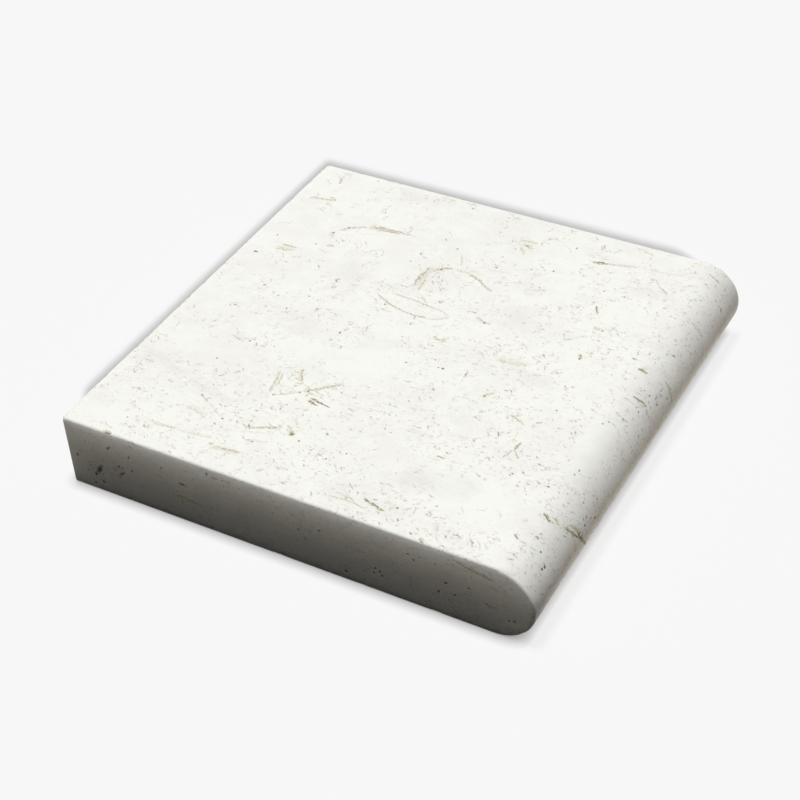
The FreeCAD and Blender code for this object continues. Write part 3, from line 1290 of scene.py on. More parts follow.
class NodeSheet:
    """Adds nodes to one shader tree and wires them."""

    def __init__(self, tree: bpy.types.NodeTree) -> None:
        """Takes the tree to work on."""
        self.tree = tree

    def feed(self, socket: bpy.types.NodeSocket, value: Value) -> None:
        """Links a socket to another, or sets its value.

        Args:
            socket: The socket that is fed.
            value: The socket or the plain value that it gets.
        """
        if isinstance(value, bpy.types.NodeSocket):
            self.tree.links.new(value, socket)
        else:
            socket.default_value = value

    def add(self, kind: str, inputs: Mapping[Union[str, int], Value], **settings: object) -> bpy.types.Node:
        """Adds a node.

        Args:
            kind: Blender's name for the node.
            inputs: What each input gets, by its name or number.
            **settings: The node's own settings.

        Returns:
            The node.
        """
        node = self.tree.nodes.new(kind)
        for name, setting in settings.items():
            setattr(node, name, setting)
        for key, value in inputs.items():
            self.feed(node.inputs[key], value)
        return node

    def math(self, operation: str, *values: Value) -> bpy.types.NodeSocket:
        """A sum of numbers, by Blender's name for it."""
        return self.add("ShaderNodeMath", dict(enumerate(values)), operation=operation).outputs[0]

    def vector(self, operation: str, *values: Value) -> bpy.types.NodeSocket:
        """A sum of vectors, by Blender's name for it."""
        node = self.add("ShaderNodeVectorMath", dict(enumerate(values)), operation=operation)
        return node.outputs["Value" if operation in ("LENGTH", "DISTANCE", "DOT_PRODUCT") else "Vector"]

    def scaled(self, vector: Value, factor: Value) -> bpy.types.NodeSocket:
        """A vector times a number."""
        node = self.add("ShaderNodeVectorMath", {"Vector": vector, "Scale": factor}, operation="SCALE")
        return node.outputs["Vector"]

    def step(self, value: Value, low: Value, high: Value) -> bpy.types.NodeSocket:
        """Goes smoothly from 0 at low to 1 at high, whichever is larger."""
        inputs = {"Value": value, "From Min": low, "From Max": high}
        return self.add("ShaderNodeMapRange", inputs, interpolation_type="SMOOTHSTEP").outputs["Result"]

    def blend(self, amount: Value, first: Value, second: Value) -> bpy.types.NodeSocket:
        """A colour between two, by an amount from 0 to 1."""
        node = self.add("ShaderNodeMix", {0: amount, 6: first, 7: second}, data_type="RGBA")
        return node.outputs[2]

    def noise(self, place: Value, size: float, detail: float, rough: float = 0.5) -> bpy.types.Node:
        """Blender's noise at a place in millimetres, with features of a size in millimetres."""
        inputs = {"Vector": place, "Scale": 1 / size, "Detail": detail, "Roughness": rough}
        return self.add("ShaderNodeTexNoise", inputs)

    def wander(self, place: Value, size: float, reach: float) -> bpy.types.NodeSocket:
        """A place that strays by noise of a size in millimetres, by up to half of a reach each way."""
        stray = self.vector("SUBTRACT", self.noise(place, size, 2).outputs["Color"], (0.5, 0.5, 0.5))
        return self.vector("ADD", place, self.scaled(stray, reach))

    def group(self, tree: bpy.types.NodeTree, **values: Value) -> bpy.types.Node:
        """Places a node group, with what each input gets by its name."""
        return self.add("ShaderNodeGroup", values, node_tree=tree)


Socket = tuple[str, str]


def new_group(
    name: str, inputs: Iterable[Socket], outputs: Iterable[Socket]
) -> tuple[NodeSheet, bpy.types.Node, bpy.types.Node]:
    """Starts a node group.

    Args:
        name: The group's name.
        inputs: Each input's name and kind, such as Float, Vector or Color.
        outputs: Each output's name and kind.

    Returns:
        The group's sheet, and its input and output nodes.
    """
    tree = bpy.data.node_groups.new(name, "ShaderNodeTree")
    for title, kind in inputs:
        tree.interface.new_socket(name=title, in_out="INPUT", socket_type=f"NodeSocket{kind}")
    for title, kind in outputs:
        tree.interface.new_socket(name=title, in_out="OUTPUT", socket_type=f"NodeSocket{kind}")
    sheet = NodeSheet(tree)
    return sheet, sheet.add("NodeGroupInput", {}), sheet.add("NodeGroupOutput", {})


@dataclass(frozen=True)
class LimestoneColours:
    """The colours that the stone's parts have in plain light."""

    ground: Colour = srgb(248, 248, 242)
    cloud: Colour = srgb(243, 242, 237)
    gloom: Colour = srgb(234, 233, 228)
    shell: Colour = srgb(212, 204, 180)
    sliver: Colour = srgb(138, 130, 104)
    dark: Colour = srgb(66, 57, 44)
    fleck: Colour = srgb(134, 126, 106)
    speck: Colour = srgb(108, 100, 86)
    pit: Colour = srgb(124, 110, 82)


# Sizes in millimetres of the ground's clouds, patches, crumbs and grain, and of the flecks' swarms and knots
CLOUD_SIZE, PATCH_SIZE, CRUMB_SIZE, GRAIN_SIZE = 48.0, 11.0, 2.2, 0.7
SWARM_SIZE, KNOT_SIZE = 20.0, 6.5
# Where flecks lie closer: their rise for each millimetre, and the stretch in X where the nose adds to them
SWARM_LEAN, SWARM_LEAST = (0.0006, -0.0006, 0.0), 0.03
NOSE_FLECKS_FROM, NOSE_FLECKS_TO, NOSE_FLECKS = 105.0, 145.0, 0.08


def ground_group() -> bpy.types.NodeTree:
    """The cloudy ground between the shells.

    Returns:
        A group that gives a tone, 0 where the stone is whitest, a fine grain, and how close the flecks lie.
    """
    outputs = [("Tone", "Float"), ("Grain", "Float"), ("Swarm", "Float")]
    sheet, given, result = new_group("Cloudy Ground", [("Place", "Vector")], outputs)
    place = given.outputs["Place"]
    across = sheet.add("ShaderNodeSeparateXYZ", {0: place}).outputs[0]
    drawn = sheet.vector("MULTIPLY", place, (0.7, 1.25, 1.2))
    cloud = sheet.noise(drawn, CLOUD_SIZE, 3, 0.55).outputs[0]
    patch = sheet.noise(drawn, PATCH_SIZE, 4, 0.62).outputs[0]
    crumb = sheet.noise(place, CRUMB_SIZE, 3, 0.6).outputs[0]
    grain = sheet.noise(place, GRAIN_SIZE, 2, 0.5).outputs[0]
    mixed = sheet.math("MULTIPLY_ADD", cloud, 0.5, sheet.math("MULTIPLY", patch, 0.5))
    tone = sheet.step(mixed, 0.42, 0.62)
    fine = sheet.math("MULTIPLY", sheet.math("SUBTRACT", crumb, 0.5), 1.3)
    sheet.feed(result.inputs["Tone"], sheet.math("ADD", tone, fine))
    sheet.feed(result.inputs["Grain"], grain)
    lean = sheet.math("MULTIPLY_ADD", sheet.vector("DOT_PRODUCT", place, SWARM_LEAN), 1.0, SWARM_LEAST)
    near = sheet.math("ADD", sheet.noise(place, SWARM_SIZE, 3, 0.6).outputs[0], lean)
    on_nose = sheet.step(across, NOSE_FLECKS_FROM, NOSE_FLECKS_TO)
    near = sheet.math("ADD", near, sheet.math("MULTIPLY", on_nose, NOSE_FLECKS))
    patches = sheet.math("MULTIPLY_ADD", sheet.step(near, 0.40, 0.58), 0.82, 0.18)
    knots = sheet.step(sheet.noise(place, KNOT_SIZE, 2).outputs[0], 0.40, 0.60)
    knots = sheet.math("MULTIPLY_ADD", knots, 0.70, 0.30)
    sheet.feed(result.inputs["Swarm"], sheet.math("MULTIPLY", patches, knots))
    return sheet.tree


def fleck_group() -> bpy.types.NodeTree:
    """Flecks of one size that lie about one way, in swarms.

    Returns:
        A group that gives a mask. It takes the place, how close the flecks lie, the way they lie, how long
        they are against their breadth, the cell each has, the share of cells that have one, and half a
        fleck's breadth as a share of the cell.
    """
    inputs = [
        ("Place", "Vector"), ("Swarm", "Float"), ("Turn", "Float"), ("Stretch", "Float"),
        ("Cell", "Float"), ("Share", "Float"), ("Size", "Float"),
    ]
    sheet, given, result = new_group("Flecks", inputs, [("Mask", "Float")])
    turned = sheet.add(
        "ShaderNodeVectorRotate",
        {"Vector": given.outputs["Place"], "Angle": given.outputs["Turn"]}, rotation_type="Z_AXIS",
    ).outputs[0]
    narrow = sheet.math("DIVIDE", 1.0, given.outputs["Stretch"])
    squeeze = sheet.add("ShaderNodeCombineXYZ", {"X": narrow, "Y": 1.0, "Z": 1.0}).outputs[0]
    drawn = sheet.vector("MULTIPLY", turned, squeeze)
    drawn = sheet.scaled(drawn, sheet.math("DIVIDE", 1.0, given.outputs["Cell"]))
    cells = sheet.add("ShaderNodeTexVoronoi", {"Vector": drawn, "Scale": 1.0, "Randomness": 1.0})
    chance = sheet.add("ShaderNodeTexWhiteNoise", {"Vector": cells.outputs["Position"]})
    share = sheet.math("MULTIPLY", given.outputs["Share"], given.outputs["Swarm"])
    there = sheet.math("LESS_THAN", chance.outputs["Value"], share)
    tones = sheet.add("ShaderNodeSeparateColor", {0: chance.outputs["Color"]})
    size = sheet.math("MULTIPLY", given.outputs["Size"], sheet.math("ADD", 0.4, tones.outputs[0]))
    spot = sheet.step(cells.outputs["Distance"], size, sheet.math("MULTIPLY", size, 0.25))
    tone = sheet.math("MULTIPLY_ADD", sheet.math("POWER", tones.outputs[1], 1.4), 0.78, 0.22)
    mask = sheet.math("MULTIPLY", sheet.math("MULTIPLY", spot, there), tone)
    sheet.feed(result.inputs["Mask"], mask)
    return sheet.tree


# How small shells stray and crumble: sizes and a reach in millimetres
HASH_STRAY_SIZE, HASH_STRAY_REACH, HASH_CRUMB_SIZE = 7.0, 4.0, 1.4


def shell_hash_group() -> bpy.types.NodeTree:
    """Small broken shells of one size, lying every way in the stone.

    Returns:
        A group that gives a mask, from the place, the cell each shell has, the share of cells
        that have one, and the shell's thickness as a share of the cell.
    """
    inputs = [("Place", "Vector"), ("Cell", "Float"), ("Share", "Float"), ("Thickness", "Float")]
    sheet, given, result = new_group("Shell Hash", inputs, [("Mask", "Float")])
    place = sheet.wander(given.outputs["Place"], HASH_STRAY_SIZE, HASH_STRAY_REACH)
    place = sheet.vector("MULTIPLY", place, (0.8, 1.2, 1.1))
    place = sheet.scaled(place, sheet.math("DIVIDE", 1.0, given.outputs["Cell"]))
    cells = sheet.add("ShaderNodeTexVoronoi", {"Vector": place, "Scale": 1.0, "Randomness": 1.0})
    offset = sheet.vector("SUBTRACT", place, cells.outputs["Position"])
    chance = sheet.add("ShaderNodeTexWhiteNoise", {"Vector": cells.outputs["Position"]})
    centre = sheet.scaled(sheet.vector("SUBTRACT", chance.outputs["Color"], (0.5, 0.5, 0.5)), 1.6)
    bend = sheet.vector("LENGTH", centre)
    reach = sheet.vector("DISTANCE", offset, centre)
    off_shell = sheet.math("ABSOLUTE", sheet.math("SUBTRACT", reach, bend))
    shell = sheet.step(off_shell, given.outputs["Thickness"], 0.0)
    inside = sheet.step(cells.outputs["Distance"], 0.50, 0.30)
    there = sheet.math("LESS_THAN", chance.outputs["Value"], given.outputs["Share"])
    crumbs = sheet.noise(given.outputs["Place"], HASH_CRUMB_SIZE, 2, 0.6).outputs[0]
    broken = sheet.step(crumbs, 0.42, 0.62)
    whole = sheet.math("MULTIPLY", shell, inside)
    mask = sheet.math("MULTIPLY", whole, sheet.math("MULTIPLY", there, broken))
    sheet.feed(result.inputs["Mask"], mask)
    return sheet.tree


# Sizes in millimetres of a placed fragment's wobbles and crumbs
WOBBLE_SIZE, FRAGMENT_CRUMB_SIZE = 2.8, 1.25


def fragment_group() -> bpy.types.NodeTree:
    """One layer of placed shell fragments, each with a darker rim along one side.

    Returns:
        A group that gives a mask, from the layer's field, the place, how dark the body is against the rim,
        how soft the edge is, and how broken up it is.
    """
    inputs = [("Field", "Vector"), ("Place", "Vector")]
    inputs += [(name, "Float") for name in ("Body", "Soft", "Broken")]
    sheet, given, result = new_group("Placed Fragment", inputs, [("Mask", "Float")])
    parts = sheet.add("ShaderNodeSeparateXYZ", {0: given.outputs["Field"]})
    place = given.outputs["Place"]
    wobble = sheet.math("SUBTRACT", sheet.noise(place, WOBBLE_SIZE, 3, 0.62).outputs[0], 0.5)
    crumbs = sheet.noise(place, FRAGMENT_CRUMB_SIZE, 2, 0.6).outputs[0]
    along = sheet.math("ABSOLUTE", sheet.math("ADD", parts.outputs[0], sheet.math("MULTIPLY", wobble, 0.35)))
    drift = sheet.math("ADD", parts.outputs[1], sheet.math("MULTIPLY", wobble, 2.6))
    taper = sheet.math("SUBTRACT", 1.0, sheet.math("MULTIPLY", sheet.math("POWER", along, 4.0), 0.55))
    drift = sheet.math("DIVIDE", drift, sheet.math("MAXIMUM", taper, 0.3))
    low = sheet.math("SUBTRACT", 1.0, given.outputs["Soft"])
    high = sheet.math("ADD", 1.0, given.outputs["Soft"])
    body = sheet.step(sheet.math("ABSOLUTE", drift), high, low)
    from_rim = sheet.math("ABSOLUTE", sheet.math("SUBTRACT", drift, 0.45))
    rim = sheet.step(from_rim, 0.62, 0.10)
    crumbled = sheet.math("MULTIPLY", sheet.step(crumbs, 0.56, 0.38), given.outputs["Broken"])
    whole = sheet.math("SUBTRACT", 1.0, crumbled)
    rim = sheet.math("MULTIPLY", rim, whole)
    body = sheet.math("MULTIPLY", sheet.math("MULTIPLY", body, given.outputs["Body"]), whole)
    ends = sheet.step(along, 1.08, 0.72)
    mask = sheet.math("MULTIPLY", sheet.math("MAXIMUM", rim, body), ends)
    sheet.feed(result.inputs["Mask"], sheet.math("MULTIPLY", mask, parts.outputs[2]))
    return sheet.tree


@dataclass(frozen=True)
class FragmentLook:
    """How one kind of placed fragment is drawn."""

    body: float
    soft: float
    broken: float


FRAGMENT_LOOKS = {
    Kind.SLIVER: FragmentLook(0.58, 0.55, 0.60),
    Kind.SHELL: FragmentLook(0.55, 0.50, 0.45),
    Kind.GHOST: FragmentLook(1.0, 0.9, 0.2),
    Kind.BARE: FragmentLook(1.0, 0.6, 0.0),
}


@dataclass(frozen=True)
class FleckLook:
    """One size of fleck: how it lies, its length against its breadth, its cell, share, size and weight."""

    turn: float
    stretch: float
    cell: float
    share: float
    size: float
    weight: float


FLECK_LOOKS = (
    FleckLook(math.radians(42), 5.6, 3.5, 1.00, 0.22, 0.95),
    FleckLook(math.radians(10), 5.2, 3.0, 1.00, 0.23, 0.90),
    FleckLook(math.radians(55), 4.4, 2.3, 1.00, 0.28, 0.85),
    FleckLook(math.radians(-30), 3.8, 1.8, 1.00, 0.31, 0.75),
)
SPECK_LOOKS = (
    FleckLook(0.0, 1.6, 2.6, 0.55, 0.26, 0.5),
    FleckLook(math.radians(35), 3.0, 4.8, 0.60, 0.16, 0.8),
)


# How flecks stray, in millimetres, and how far apart in the pattern their sets are taken
FLECK_STRAY_SIZE, FLECK_STRAY_REACH = 4.5, 3.4
FLECK_SHIFT, SPECK_SHIFT, LOOK_SHIFT = 11.0, 417.0, 131.0
# Sizes in millimetres of the curls, of the gaps between them and of the mottle
CURL_SIZE, CURL_GAP_SIZE, MOTTLE_SIZE = 5.0, 3.0, 2.6


def fragment_masks(
    sheet: NodeSheet, given: bpy.types.Node, place: bpy.types.NodeSocket
) -> dict[Kind, bpy.types.NodeSocket]:
    """Joins the layers of placed fragments.

    Args:
        sheet: The stone's sheet.
        given: Its input node, which has the layers' fields.
        place: The place in the stone.

    Returns:
        A mask for each kind.
    """
    tree = fragment_group()
    masks: dict[Kind, bpy.types.NodeSocket] = {}
    for kind, look in FRAGMENT_LOOKS.items():
        values = {"Place": place, "Body": look.body, "Soft": look.soft, "Broken": look.broken}
        for name in layer_names(kind):
            layer = sheet.group(tree, Field=given.outputs[name], **values).outputs["Mask"]
            masks[kind] = sheet.math("MAXIMUM", masks[kind], layer) if kind in masks else layer
    return masks


def curls(
    sheet: NodeSheet, place: bpy.types.NodeSocket, swarm: bpy.types.NodeSocket
) -> bpy.types.NodeSocket:
    """Faint curls and mottle among the flecks.

    Args:
        sheet: The stone's sheet.
        place: The place in the stone.
        swarm: How close the flecks lie.

    Returns:
        A mask.
    """
    drawn = sheet.vector("MULTIPLY", place, (0.75, 1.25, 1.1))
    ridge = sheet.math("SUBTRACT", sheet.noise(drawn, CURL_SIZE, 3, 0.55).outputs[0], 0.5)
    ridge = sheet.step(sheet.math("ABSOLUTE", ridge), 0.028, 0.004)
    gate = sheet.step(sheet.noise(place, CURL_GAP_SIZE, 2, 0.6).outputs[0], 0.52, 0.66)
    mottle = sheet.step(sheet.noise(drawn, MOTTLE_SIZE, 3, 0.65).outputs[0], 0.54, 0.74)
    curl = sheet.math("MULTIPLY", sheet.math("MULTIPLY", ridge, gate), 0.45)
    close = sheet.math("MINIMUM", sheet.math("MULTIPLY", swarm, 1.6), 1.0)
    return sheet.math("MULTIPLY", sheet.math("MAXIMUM", curl, mottle), close)


def strewn_flecks(
    sheet: NodeSheet,
    tree: bpy.types.NodeTree,
    looks: Iterable[FleckLook],
    place: bpy.types.NodeSocket,
    swarm: bpy.types.NodeSocket,
    shift: float,
) -> bpy.types.NodeSocket:
    """Joins flecks of several sizes.

    Args:
        sheet: The stone's sheet.
        tree: The flecks' group.
        looks: Their sizes.
        place: The place in the stone.
        swarm: How close the flecks lie.
        shift: Where in the pattern they are taken.

    Returns:
        A mask.
    """
    total: Value = 0.0
    for number, look in enumerate(looks):
        spot = sheet.vector("ADD", place, (shift + LOOK_SHIFT * number, 57.0, 23.0))
        mask = sheet.group(
            tree, Place=spot, Swarm=swarm, Turn=look.turn, Stretch=look.stretch,
            Cell=look.cell, Share=look.share, Size=look.size,
        ).outputs["Mask"]
        total = sheet.math("MAXIMUM", sheet.math("MULTIPLY", mask, look.weight), total)
    return total


def limestone_group(colours: LimestoneColours) -> bpy.types.NodeTree:
    """The whole stone: ground, shell hash, placed fragments, flecks, specks and stained pits.

    Args:
        colours: The stone's colours.

    Returns:
        A group that gives the stone's colour, how open it is, and its fine relief.
    """
    inputs = [("Place", "Vector"), ("Stain", "Float"), ("Flecks", "Float")]
    inputs += [(name, "Vector") for name in layer_names()]
    outputs = [("Color", "Color"), ("Open", "Float"), ("Relief", "Float")]
    sheet, given, result = new_group("Shell Limestone", inputs, outputs)
    place = given.outputs["Place"]
    ground = sheet.group(ground_group(), Place=place)
    tone = ground.outputs["Tone"]
    masks = fragment_masks(sheet, given, place)
    sliver, shell = masks[Kind.SLIVER], masks[Kind.SHELL]
    ghost = sheet.math("MULTIPLY", masks[Kind.GHOST], sheet.math("MULTIPLY_ADD", tone, 0.6, 0.4))
    cleared = sheet.math("MAXIMUM", sheet.math("MULTIPLY", ghost, 0.9), masks[Kind.BARE])
    swarm = sheet.math("MULTIPLY", ground.outputs["Swarm"], sheet.math("SUBTRACT", 1.0, cleared))
    swarm = sheet.math("MULTIPLY", swarm, given.outputs["Flecks"])

    colour = sheet.blend(tone, colours.ground, colours.cloud)
    colour = sheet.blend(ghost, colour, colours.gloom)
    hash_tree = shell_hash_group()
    large = sheet.group(hash_tree, Place=place, Cell=13.0, Share=0.30, Thickness=0.05).outputs["Mask"]
    small = sheet.group(hash_tree, Place=place, Cell=5.5, Share=0.40, Thickness=0.10).outputs["Mask"]
    small = sheet.math("MULTIPLY", small, swarm)
    shells = sheet.math("MAXIMUM", sheet.math("MULTIPLY", large, 0.45), sheet.math("MULTIPLY", small, 0.6))
    colour = sheet.blend(shells, colour, colours.fleck)
    colour = sheet.blend(curls(sheet, place, swarm), colour, colours.shell)
    strayed, fleck_tree = sheet.wander(place, FLECK_STRAY_SIZE, FLECK_STRAY_REACH), fleck_group()
    flecks = strewn_flecks(sheet, fleck_tree, FLECK_LOOKS, strayed, swarm, FLECK_SHIFT)
    colour = sheet.blend(flecks, colour, colours.fleck)
    for mask, low, high, tint in (
        (shell, 0.0, 0.75, colours.shell),
        (shell, 0.45, 0.95, colours.sliver),
        (sliver, 0.0, 0.55, colours.shell),
        (sliver, 0.25, 0.95, colours.sliver),
        (sliver, 0.8, 1.35, colours.dark),
    ):
        colour = sheet.blend(sheet.step(mask, low, high), colour, tint)
    specks = strewn_flecks(sheet, fleck_tree, SPECK_LOOKS, strayed, swarm, SPECK_SHIFT)
    colour = sheet.blend(specks, colour, colours.speck)
    stain = sheet.step(given.outputs["Stain"], 0.0, 1.15)
    relief = sheet.math("SUBTRACT", sheet.math("MULTIPLY", ground.outputs["Grain"], 0.25), specks)
    sheet.feed(result.inputs["Color"], sheet.blend(stain, colour, colours.pit))
    sheet.feed(result.inputs["Open"], sheet.math("MAXIMUM", specks, stain))
    sheet.feed(result.inputs["Relief"], relief)
    return sheet.tree


def saw_group() -> bpy.types.NodeTree:
    """The marks that a saw leaves.

    Returns:
        A group that gives a height, from the place and how often the marks repeat along each axis.
    """
    sheet, given, result = new_group(
        "Saw Lines", [("Place", "Vector"), ("Rate", "Vector")], [("Height", "Float")]
    )
    drawn = sheet.vector("MULTIPLY", given.outputs["Place"], given.outputs["Rate"])
    lines = sheet.noise(drawn, 1.0, 3, 0.6).outputs[0]
    sheet.feed(result.inputs["Height"], lines)
    return sheet.tree


def blank_material(name: str) -> tuple[bpy.types.Material, NodeSheet]:
    """Starts a material.

    Args:
        name: Its name.

    Returns:
        The material without nodes, and the sheet for its nodes.
    """
    made = bpy.data.materials.new(name)
    made.use_nodes = True
    made.node_tree.nodes.clear()
    return made, NodeSheet(made.node_tree)


@dataclass(frozen=True)
class StoneFinish:
    """One worked face of the stone: its gloss, its relief, its saw marks and how close its flecks lie.

    It also says how much light goes into the stone there, and how far it gets in metres.
    """

    name: str
    roughness: float
    open_roughness: float
    relief: float
    saw_rate: tuple[float, float, float]
    saw_height: float
    flecks: float
    translucency: float
    light_reach: float

    def material(self, stone: bpy.types.NodeTree, saw: bpy.types.NodeTree) -> bpy.types.Material:
        """Makes the finish.

        Args:
            stone: The stone's group.
            saw: The saw marks' group.

        Returns:
            The material.
        """
        made, sheet = blank_material(self.name)
        place = sheet.scaled(sheet.add("ShaderNodeTexCoord", {}).outputs["Object"], 1 / MM)
        layers = {}
        for name in layer_names():
            layers[name] = sheet.add("ShaderNodeAttribute", {}, attribute_name=name).outputs["Vector"]
        stain = sheet.add("ShaderNodeAttribute", {}, attribute_name="stain").outputs["Fac"]
        body = sheet.group(stone, Place=place, Stain=stain, Flecks=self.flecks, **layers)
        marks = sheet.group(saw, Place=place, Rate=self.saw_rate)
        height = sheet.math("MULTIPLY", marks.outputs["Height"], self.saw_height)
        height = sheet.math("MULTIPLY_ADD", body.outputs["Relief"], self.relief, height)
        bump = sheet.add("ShaderNodeBump", {"Height": height, "Strength": 1.0, "Distance": MM})
        rough = sheet.add(
            "ShaderNodeMapRange",
            {"Value": body.outputs["Open"], "To Min": self.roughness, "To Max": self.open_roughness},
        ).outputs["Result"]
        shader = sheet.add("ShaderNodeBsdfPrincipled", {
            "Base Color": body.outputs["Color"], "Roughness": rough, "Normal": bump.outputs["Normal"],
            "Specular IOR Level": SHEEN, "Subsurface Weight": self.translucency,
            "Subsurface Scale": self.light_reach, "Subsurface Radius": LIGHT_TINT,
        }, subsurface_method="BURLEY")
        sheet.add("ShaderNodeOutputMaterial", {"Surface": shader.outputs[0]})
        return made


# How much the stone gleams, and how far each colour gets in it as a share of the light's reach
SHEEN = 0.2
LIGHT_TINT = (1.0, 0.94, 0.84)

FINISHES = {
    Finish.HONED: StoneFinish("honed_limestone", 0.60, 0.85, 0.10, (0.0, 0.0, 0.0), 0.0, 1.0, 0.35, 0.006),
    Finish.SAWN: StoneFinish("sawn_limestone", 0.78, 0.90, 0.22, (0.03, 0.03, 1.1), 0.10, 0.5, 0.4, 0.045),
    Finish.BED: StoneFinish("sawn_bed_limestone", 0.85, 0.92, 0.25, (1.0, 0.02, 0.0), 0.22, 0.5, 0.4, 0.045),
}


# The studio


@dataclass(frozen=True)
class Lamp:
    """A distant soft lamp: the way to it, how wide it looks in degrees, and the light it puts on the face."""

    name: str
    way: tuple[float, float, float]
    spread: float
    face_light: float

    def hang(self) -> bpy.types.Object:
        """Adds the lamp.

        Returns:
            The lamp.
        """
        way = Vector(self.way).normalized()
        made = bpy.data.lights.new(self.name, "SUN")
        made.angle = math.radians(self.spread)
        made.energy = self.face_light * math.pi / way.z
        lamp = bpy.data.objects.new(self.name, made)
        lamp.location = way
        lamp.rotation_euler = way.to_track_quat("Z", "Y").to_euler()
        bpy.context.scene.collection.objects.link(lamp)
        return lamp


@dataclass(frozen=True)
class Board:
    """A dark board on the floor that the eye doesn't see: it keeps light off the faces that stand in shade.

    Along its axis it fades in between two places and out again between two others.
    """

    axis: int
    fade_in: tuple[float, float]
    fade_out: tuple[float, float]
    share: float

    def cover(self, sheet: NodeSheet, place: bpy.types.NodeSocket) -> bpy.types.NodeSocket:
        """Where the board lies.

        Args:
            sheet: The sheet to add the nodes to.
            place: The place along the board's axis.

        Returns:
            A mask, 1 on the board.
        """
        return sheet.math("MULTIPLY", sheet.step(place, *self.fade_in), sheet.step(place, *self.fade_out))

    def toned(self, colour: Colour) -> Colour:
        """What the board throws back where the floor throws back a colour."""
        return tuple(channel * self.share for channel in colour[:3]) + (1.0,)


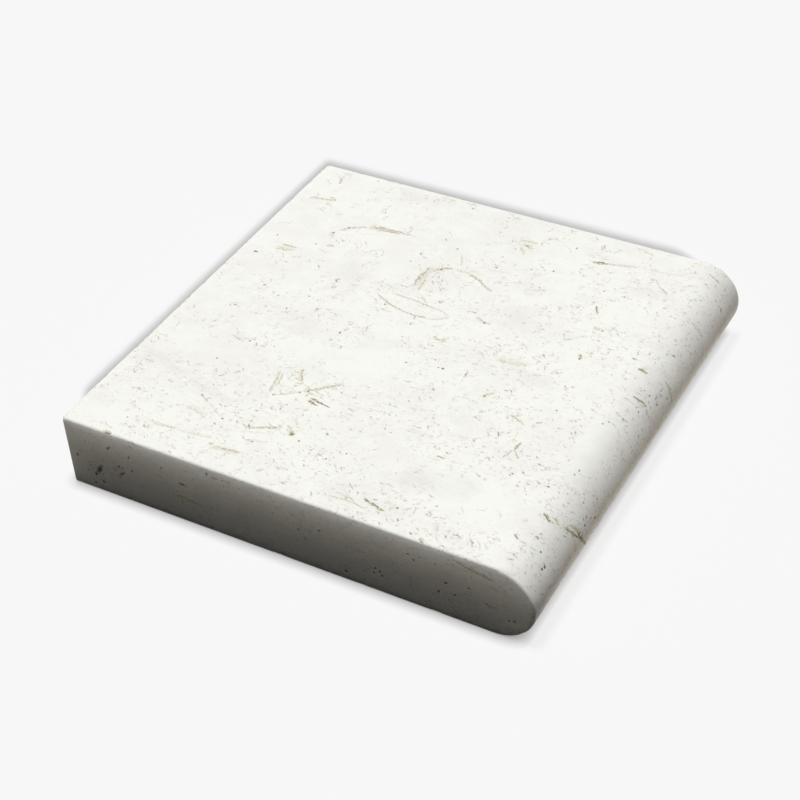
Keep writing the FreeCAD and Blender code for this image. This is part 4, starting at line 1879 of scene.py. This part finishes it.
@dataclass(frozen=True)
class Studio:
    """A pale floor, soft light from above, a lamp in front for the floor alone, and the camera.

    The camera has its place in millimetres, the way it looks and its tilt about that line in degrees, and its
    lens and sensor in millimetres. Its picture shift is a share of the picture's width.
    """

    camera_place: tuple[float, float, float] = (414.86, -711.83, 682.19)
    camera_yaw: float = 30.511
    camera_pitch: float = 39.473
    camera_roll: float = -3.174
    lens: float = 76.913
    sensor: float = 36.0
    picture_shift: float = -0.015
    nearest_seen: float = 0.01
    key_lamp: Lamp = Lamp("key_lamp", (-0.12, 0.0, 1.0), 14.0, 0.99)
    floor_lamp: Lamp = Lamp("floor_lamp", (0.976, -1.474, 1.0), 4.0, 4.6)
    floor_side: float = 6.0
    floor_gap: float = 0.0002
    backdrop: Colour = srgb(247, 247, 247)
    bounce: Colour = (0.90, 0.83, 0.727, 1.0)
    boards: tuple[Board, ...] = (
        Board(1, (-0.130, -0.150), (-0.445, -0.410), 0.03),
        Board(0, (0.200, 0.230), (2.8, 2.7), 0.12),
    )
    sky: Colour = (0.01, 0.01, 0.01, 1.0)
    contact_reach: float = 0.0082
    contact_depth: float = 0.82
    contact_samples: int = 8
    cast_share: float = 0.10

    def shoot(self) -> None:
        """Sets up the floor, the light and the camera."""
        bpy.context.scene.view_settings.view_transform = "Standard"
        self.add_bounce()
        floor = self.add_floor()
        self.key_lamp.hang()
        lit = bpy.data.collections.new("floor_lamp_lights")
        lit.objects.link(floor)
        self.floor_lamp.hang().light_linking.receiver_collection = lit
        self.add_world()
        self.add_camera()

    @staticmethod
    def seen_directly(sheet: NodeSheet) -> bpy.types.NodeSocket:
        """1 for what the camera sees, also in a gloss or through glass.

        Args:
            sheet: The sheet to add the nodes to.

        Returns:
            The socket.
        """
        path = sheet.add("ShaderNodeLightPath", {}).outputs
        seen = sheet.math("MAXIMUM", path["Is Camera Ray"], path["Is Glossy Ray"])
        return sheet.math("MAXIMUM", seen, path["Is Transmission Ray"])

    def lay(self, name: str, height: float) -> tuple[bpy.types.Object, NodeSheet]:
        """Lays a level plane with an empty material.

        Args:
            name: The plane's name.
            height: Its height in metres.

        Returns:
            The plane, and the sheet of its material's nodes.
        """
        half = self.floor_side / 2
        mesh = bpy.data.meshes.new(name)
        corners = [(-half, -half, height), (half, -half, height), (half, half, height), (-half, half, height)]
        mesh.from_pydata(corners, [], [(0, 1, 2, 3)])
        made, sheet = blank_material(name)
        mesh.materials.append(made)
        plane = bpy.data.objects.new(name, mesh)
        bpy.context.scene.collection.objects.link(plane)
        return plane, sheet

    def add_floor(self) -> bpy.types.Object:
        """Lays the floor that the eye sees from above: the backdrop's colour, with the tile's shadows.

        Returns:
            The floor.
        """
        floor, sheet = self.lay("studio_floor", 0.0)
        floor.visible_diffuse = False
        floor.visible_shadow = False
        contact = sheet.add(
            "ShaderNodeAmbientOcclusion", {"Distance": self.contact_reach}, samples=self.contact_samples
        ).outputs["AO"]
        shade = sheet.math("MULTIPLY_ADD", contact, self.contact_depth, 1 - self.contact_depth)
        ground = sheet.scaled(self.backdrop[:3], shade)
        glow_share = 1 - self.cast_share * (self.key_lamp.face_light + self.floor_lamp.face_light)
        glow = sheet.add("ShaderNodeEmission", {"Color": ground, "Strength": glow_share}).outputs[0]
        cast = sheet.add("ShaderNodeBsdfDiffuse", {"Color": sheet.scaled(ground, self.cast_share)}).outputs[0]
        above = sheet.add("ShaderNodeAddShader", {0: glow, 1: cast}).outputs[0]
        clear = sheet.add("ShaderNodeBsdfTransparent", {}).outputs[0]
        below = sheet.add("ShaderNodeNewGeometry", {}).outputs["Backfacing"]
        surface = sheet.add("ShaderNodeMixShader", {0: below, 1: above, 2: clear}).outputs[0]
        sheet.add("ShaderNodeOutputMaterial", {"Surface": surface})
        return floor

    def add_bounce(self) -> None:
        """Lays the floor that throws light back on the stone, just below the one that the eye sees."""
        floor, sheet = self.lay("studio_bounce", -self.floor_gap)
        floor.visible_camera = False
        floor.visible_glossy = False
        floor.visible_transmission = False
        place = sheet.add("ShaderNodeTexCoord", {}).outputs["Object"]
        axes = sheet.add("ShaderNodeSeparateXYZ", {0: place}).outputs
        thrown: Value = self.bounce
        for board in self.boards:
            thrown = sheet.blend(board.cover(sheet, axes[board.axis]), thrown, board.toned(self.bounce))
        plain = sheet.add("ShaderNodeBsdfDiffuse", {"Color": thrown}).outputs[0]
        sheet.add("ShaderNodeOutputMaterial", {"Surface": plain})

    def add_world(self) -> None:
        """Fills the world with a low light, and with the backdrop where the camera sees it."""
        world = bpy.data.worlds.new("studio")
        world.use_nodes = True
        world.node_tree.nodes.clear()
        sheet = NodeSheet(world.node_tree)
        sky = sheet.add("ShaderNodeBackground", {"Color": self.sky}).outputs[0]
        seen = sheet.add("ShaderNodeBackground", {"Color": self.backdrop}).outputs[0]
        surface = sheet.add("ShaderNodeMixShader", {0: self.seen_directly(sheet), 1: sky, 2: seen}).outputs[0]
        sheet.add("ShaderNodeOutputWorld", {"Surface": surface})
        bpy.context.scene.world = world

    def add_camera(self) -> None:
        """Stands the camera where the tile shows its near end and its nose."""
        made = bpy.data.cameras.new("camera")
        made.lens = self.lens
        made.sensor_width = self.sensor
        made.shift_x = self.picture_shift
        made.clip_start = self.nearest_seen
        camera = bpy.data.objects.new("camera", made)
        camera.location = Vector(self.camera_place) * MM
        level = Euler((math.radians(90 - self.camera_pitch), 0, math.radians(self.camera_yaw)))
        roll = Quaternion((0, 0, 1), math.radians(self.camera_roll))
        camera.rotation_mode = "QUATERNION"
        camera.rotation_quaternion = level.to_quaternion() @ roll
        bpy.context.scene.collection.objects.link(camera)
        bpy.context.scene.camera = camera


def main() -> None:
    """Builds the tile and its studio."""
    logging.basicConfig(level=logging.INFO, format="%(name)s: %(message)s")
    low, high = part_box(NODE)
    size = (high - low) / MM
    stone = TileStone(width=size.x, length=size.y, thickness=size.z)
    slab = stone.build()
    stone.dress(slab, LimestoneColours())
    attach(slab, BODY)
    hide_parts(NODE)
    LOG.info("%s rides on %s and stands for %s", slab.name, BODY, NODE)
    Studio().shoot()


if __name__ == "__main__":
    main()
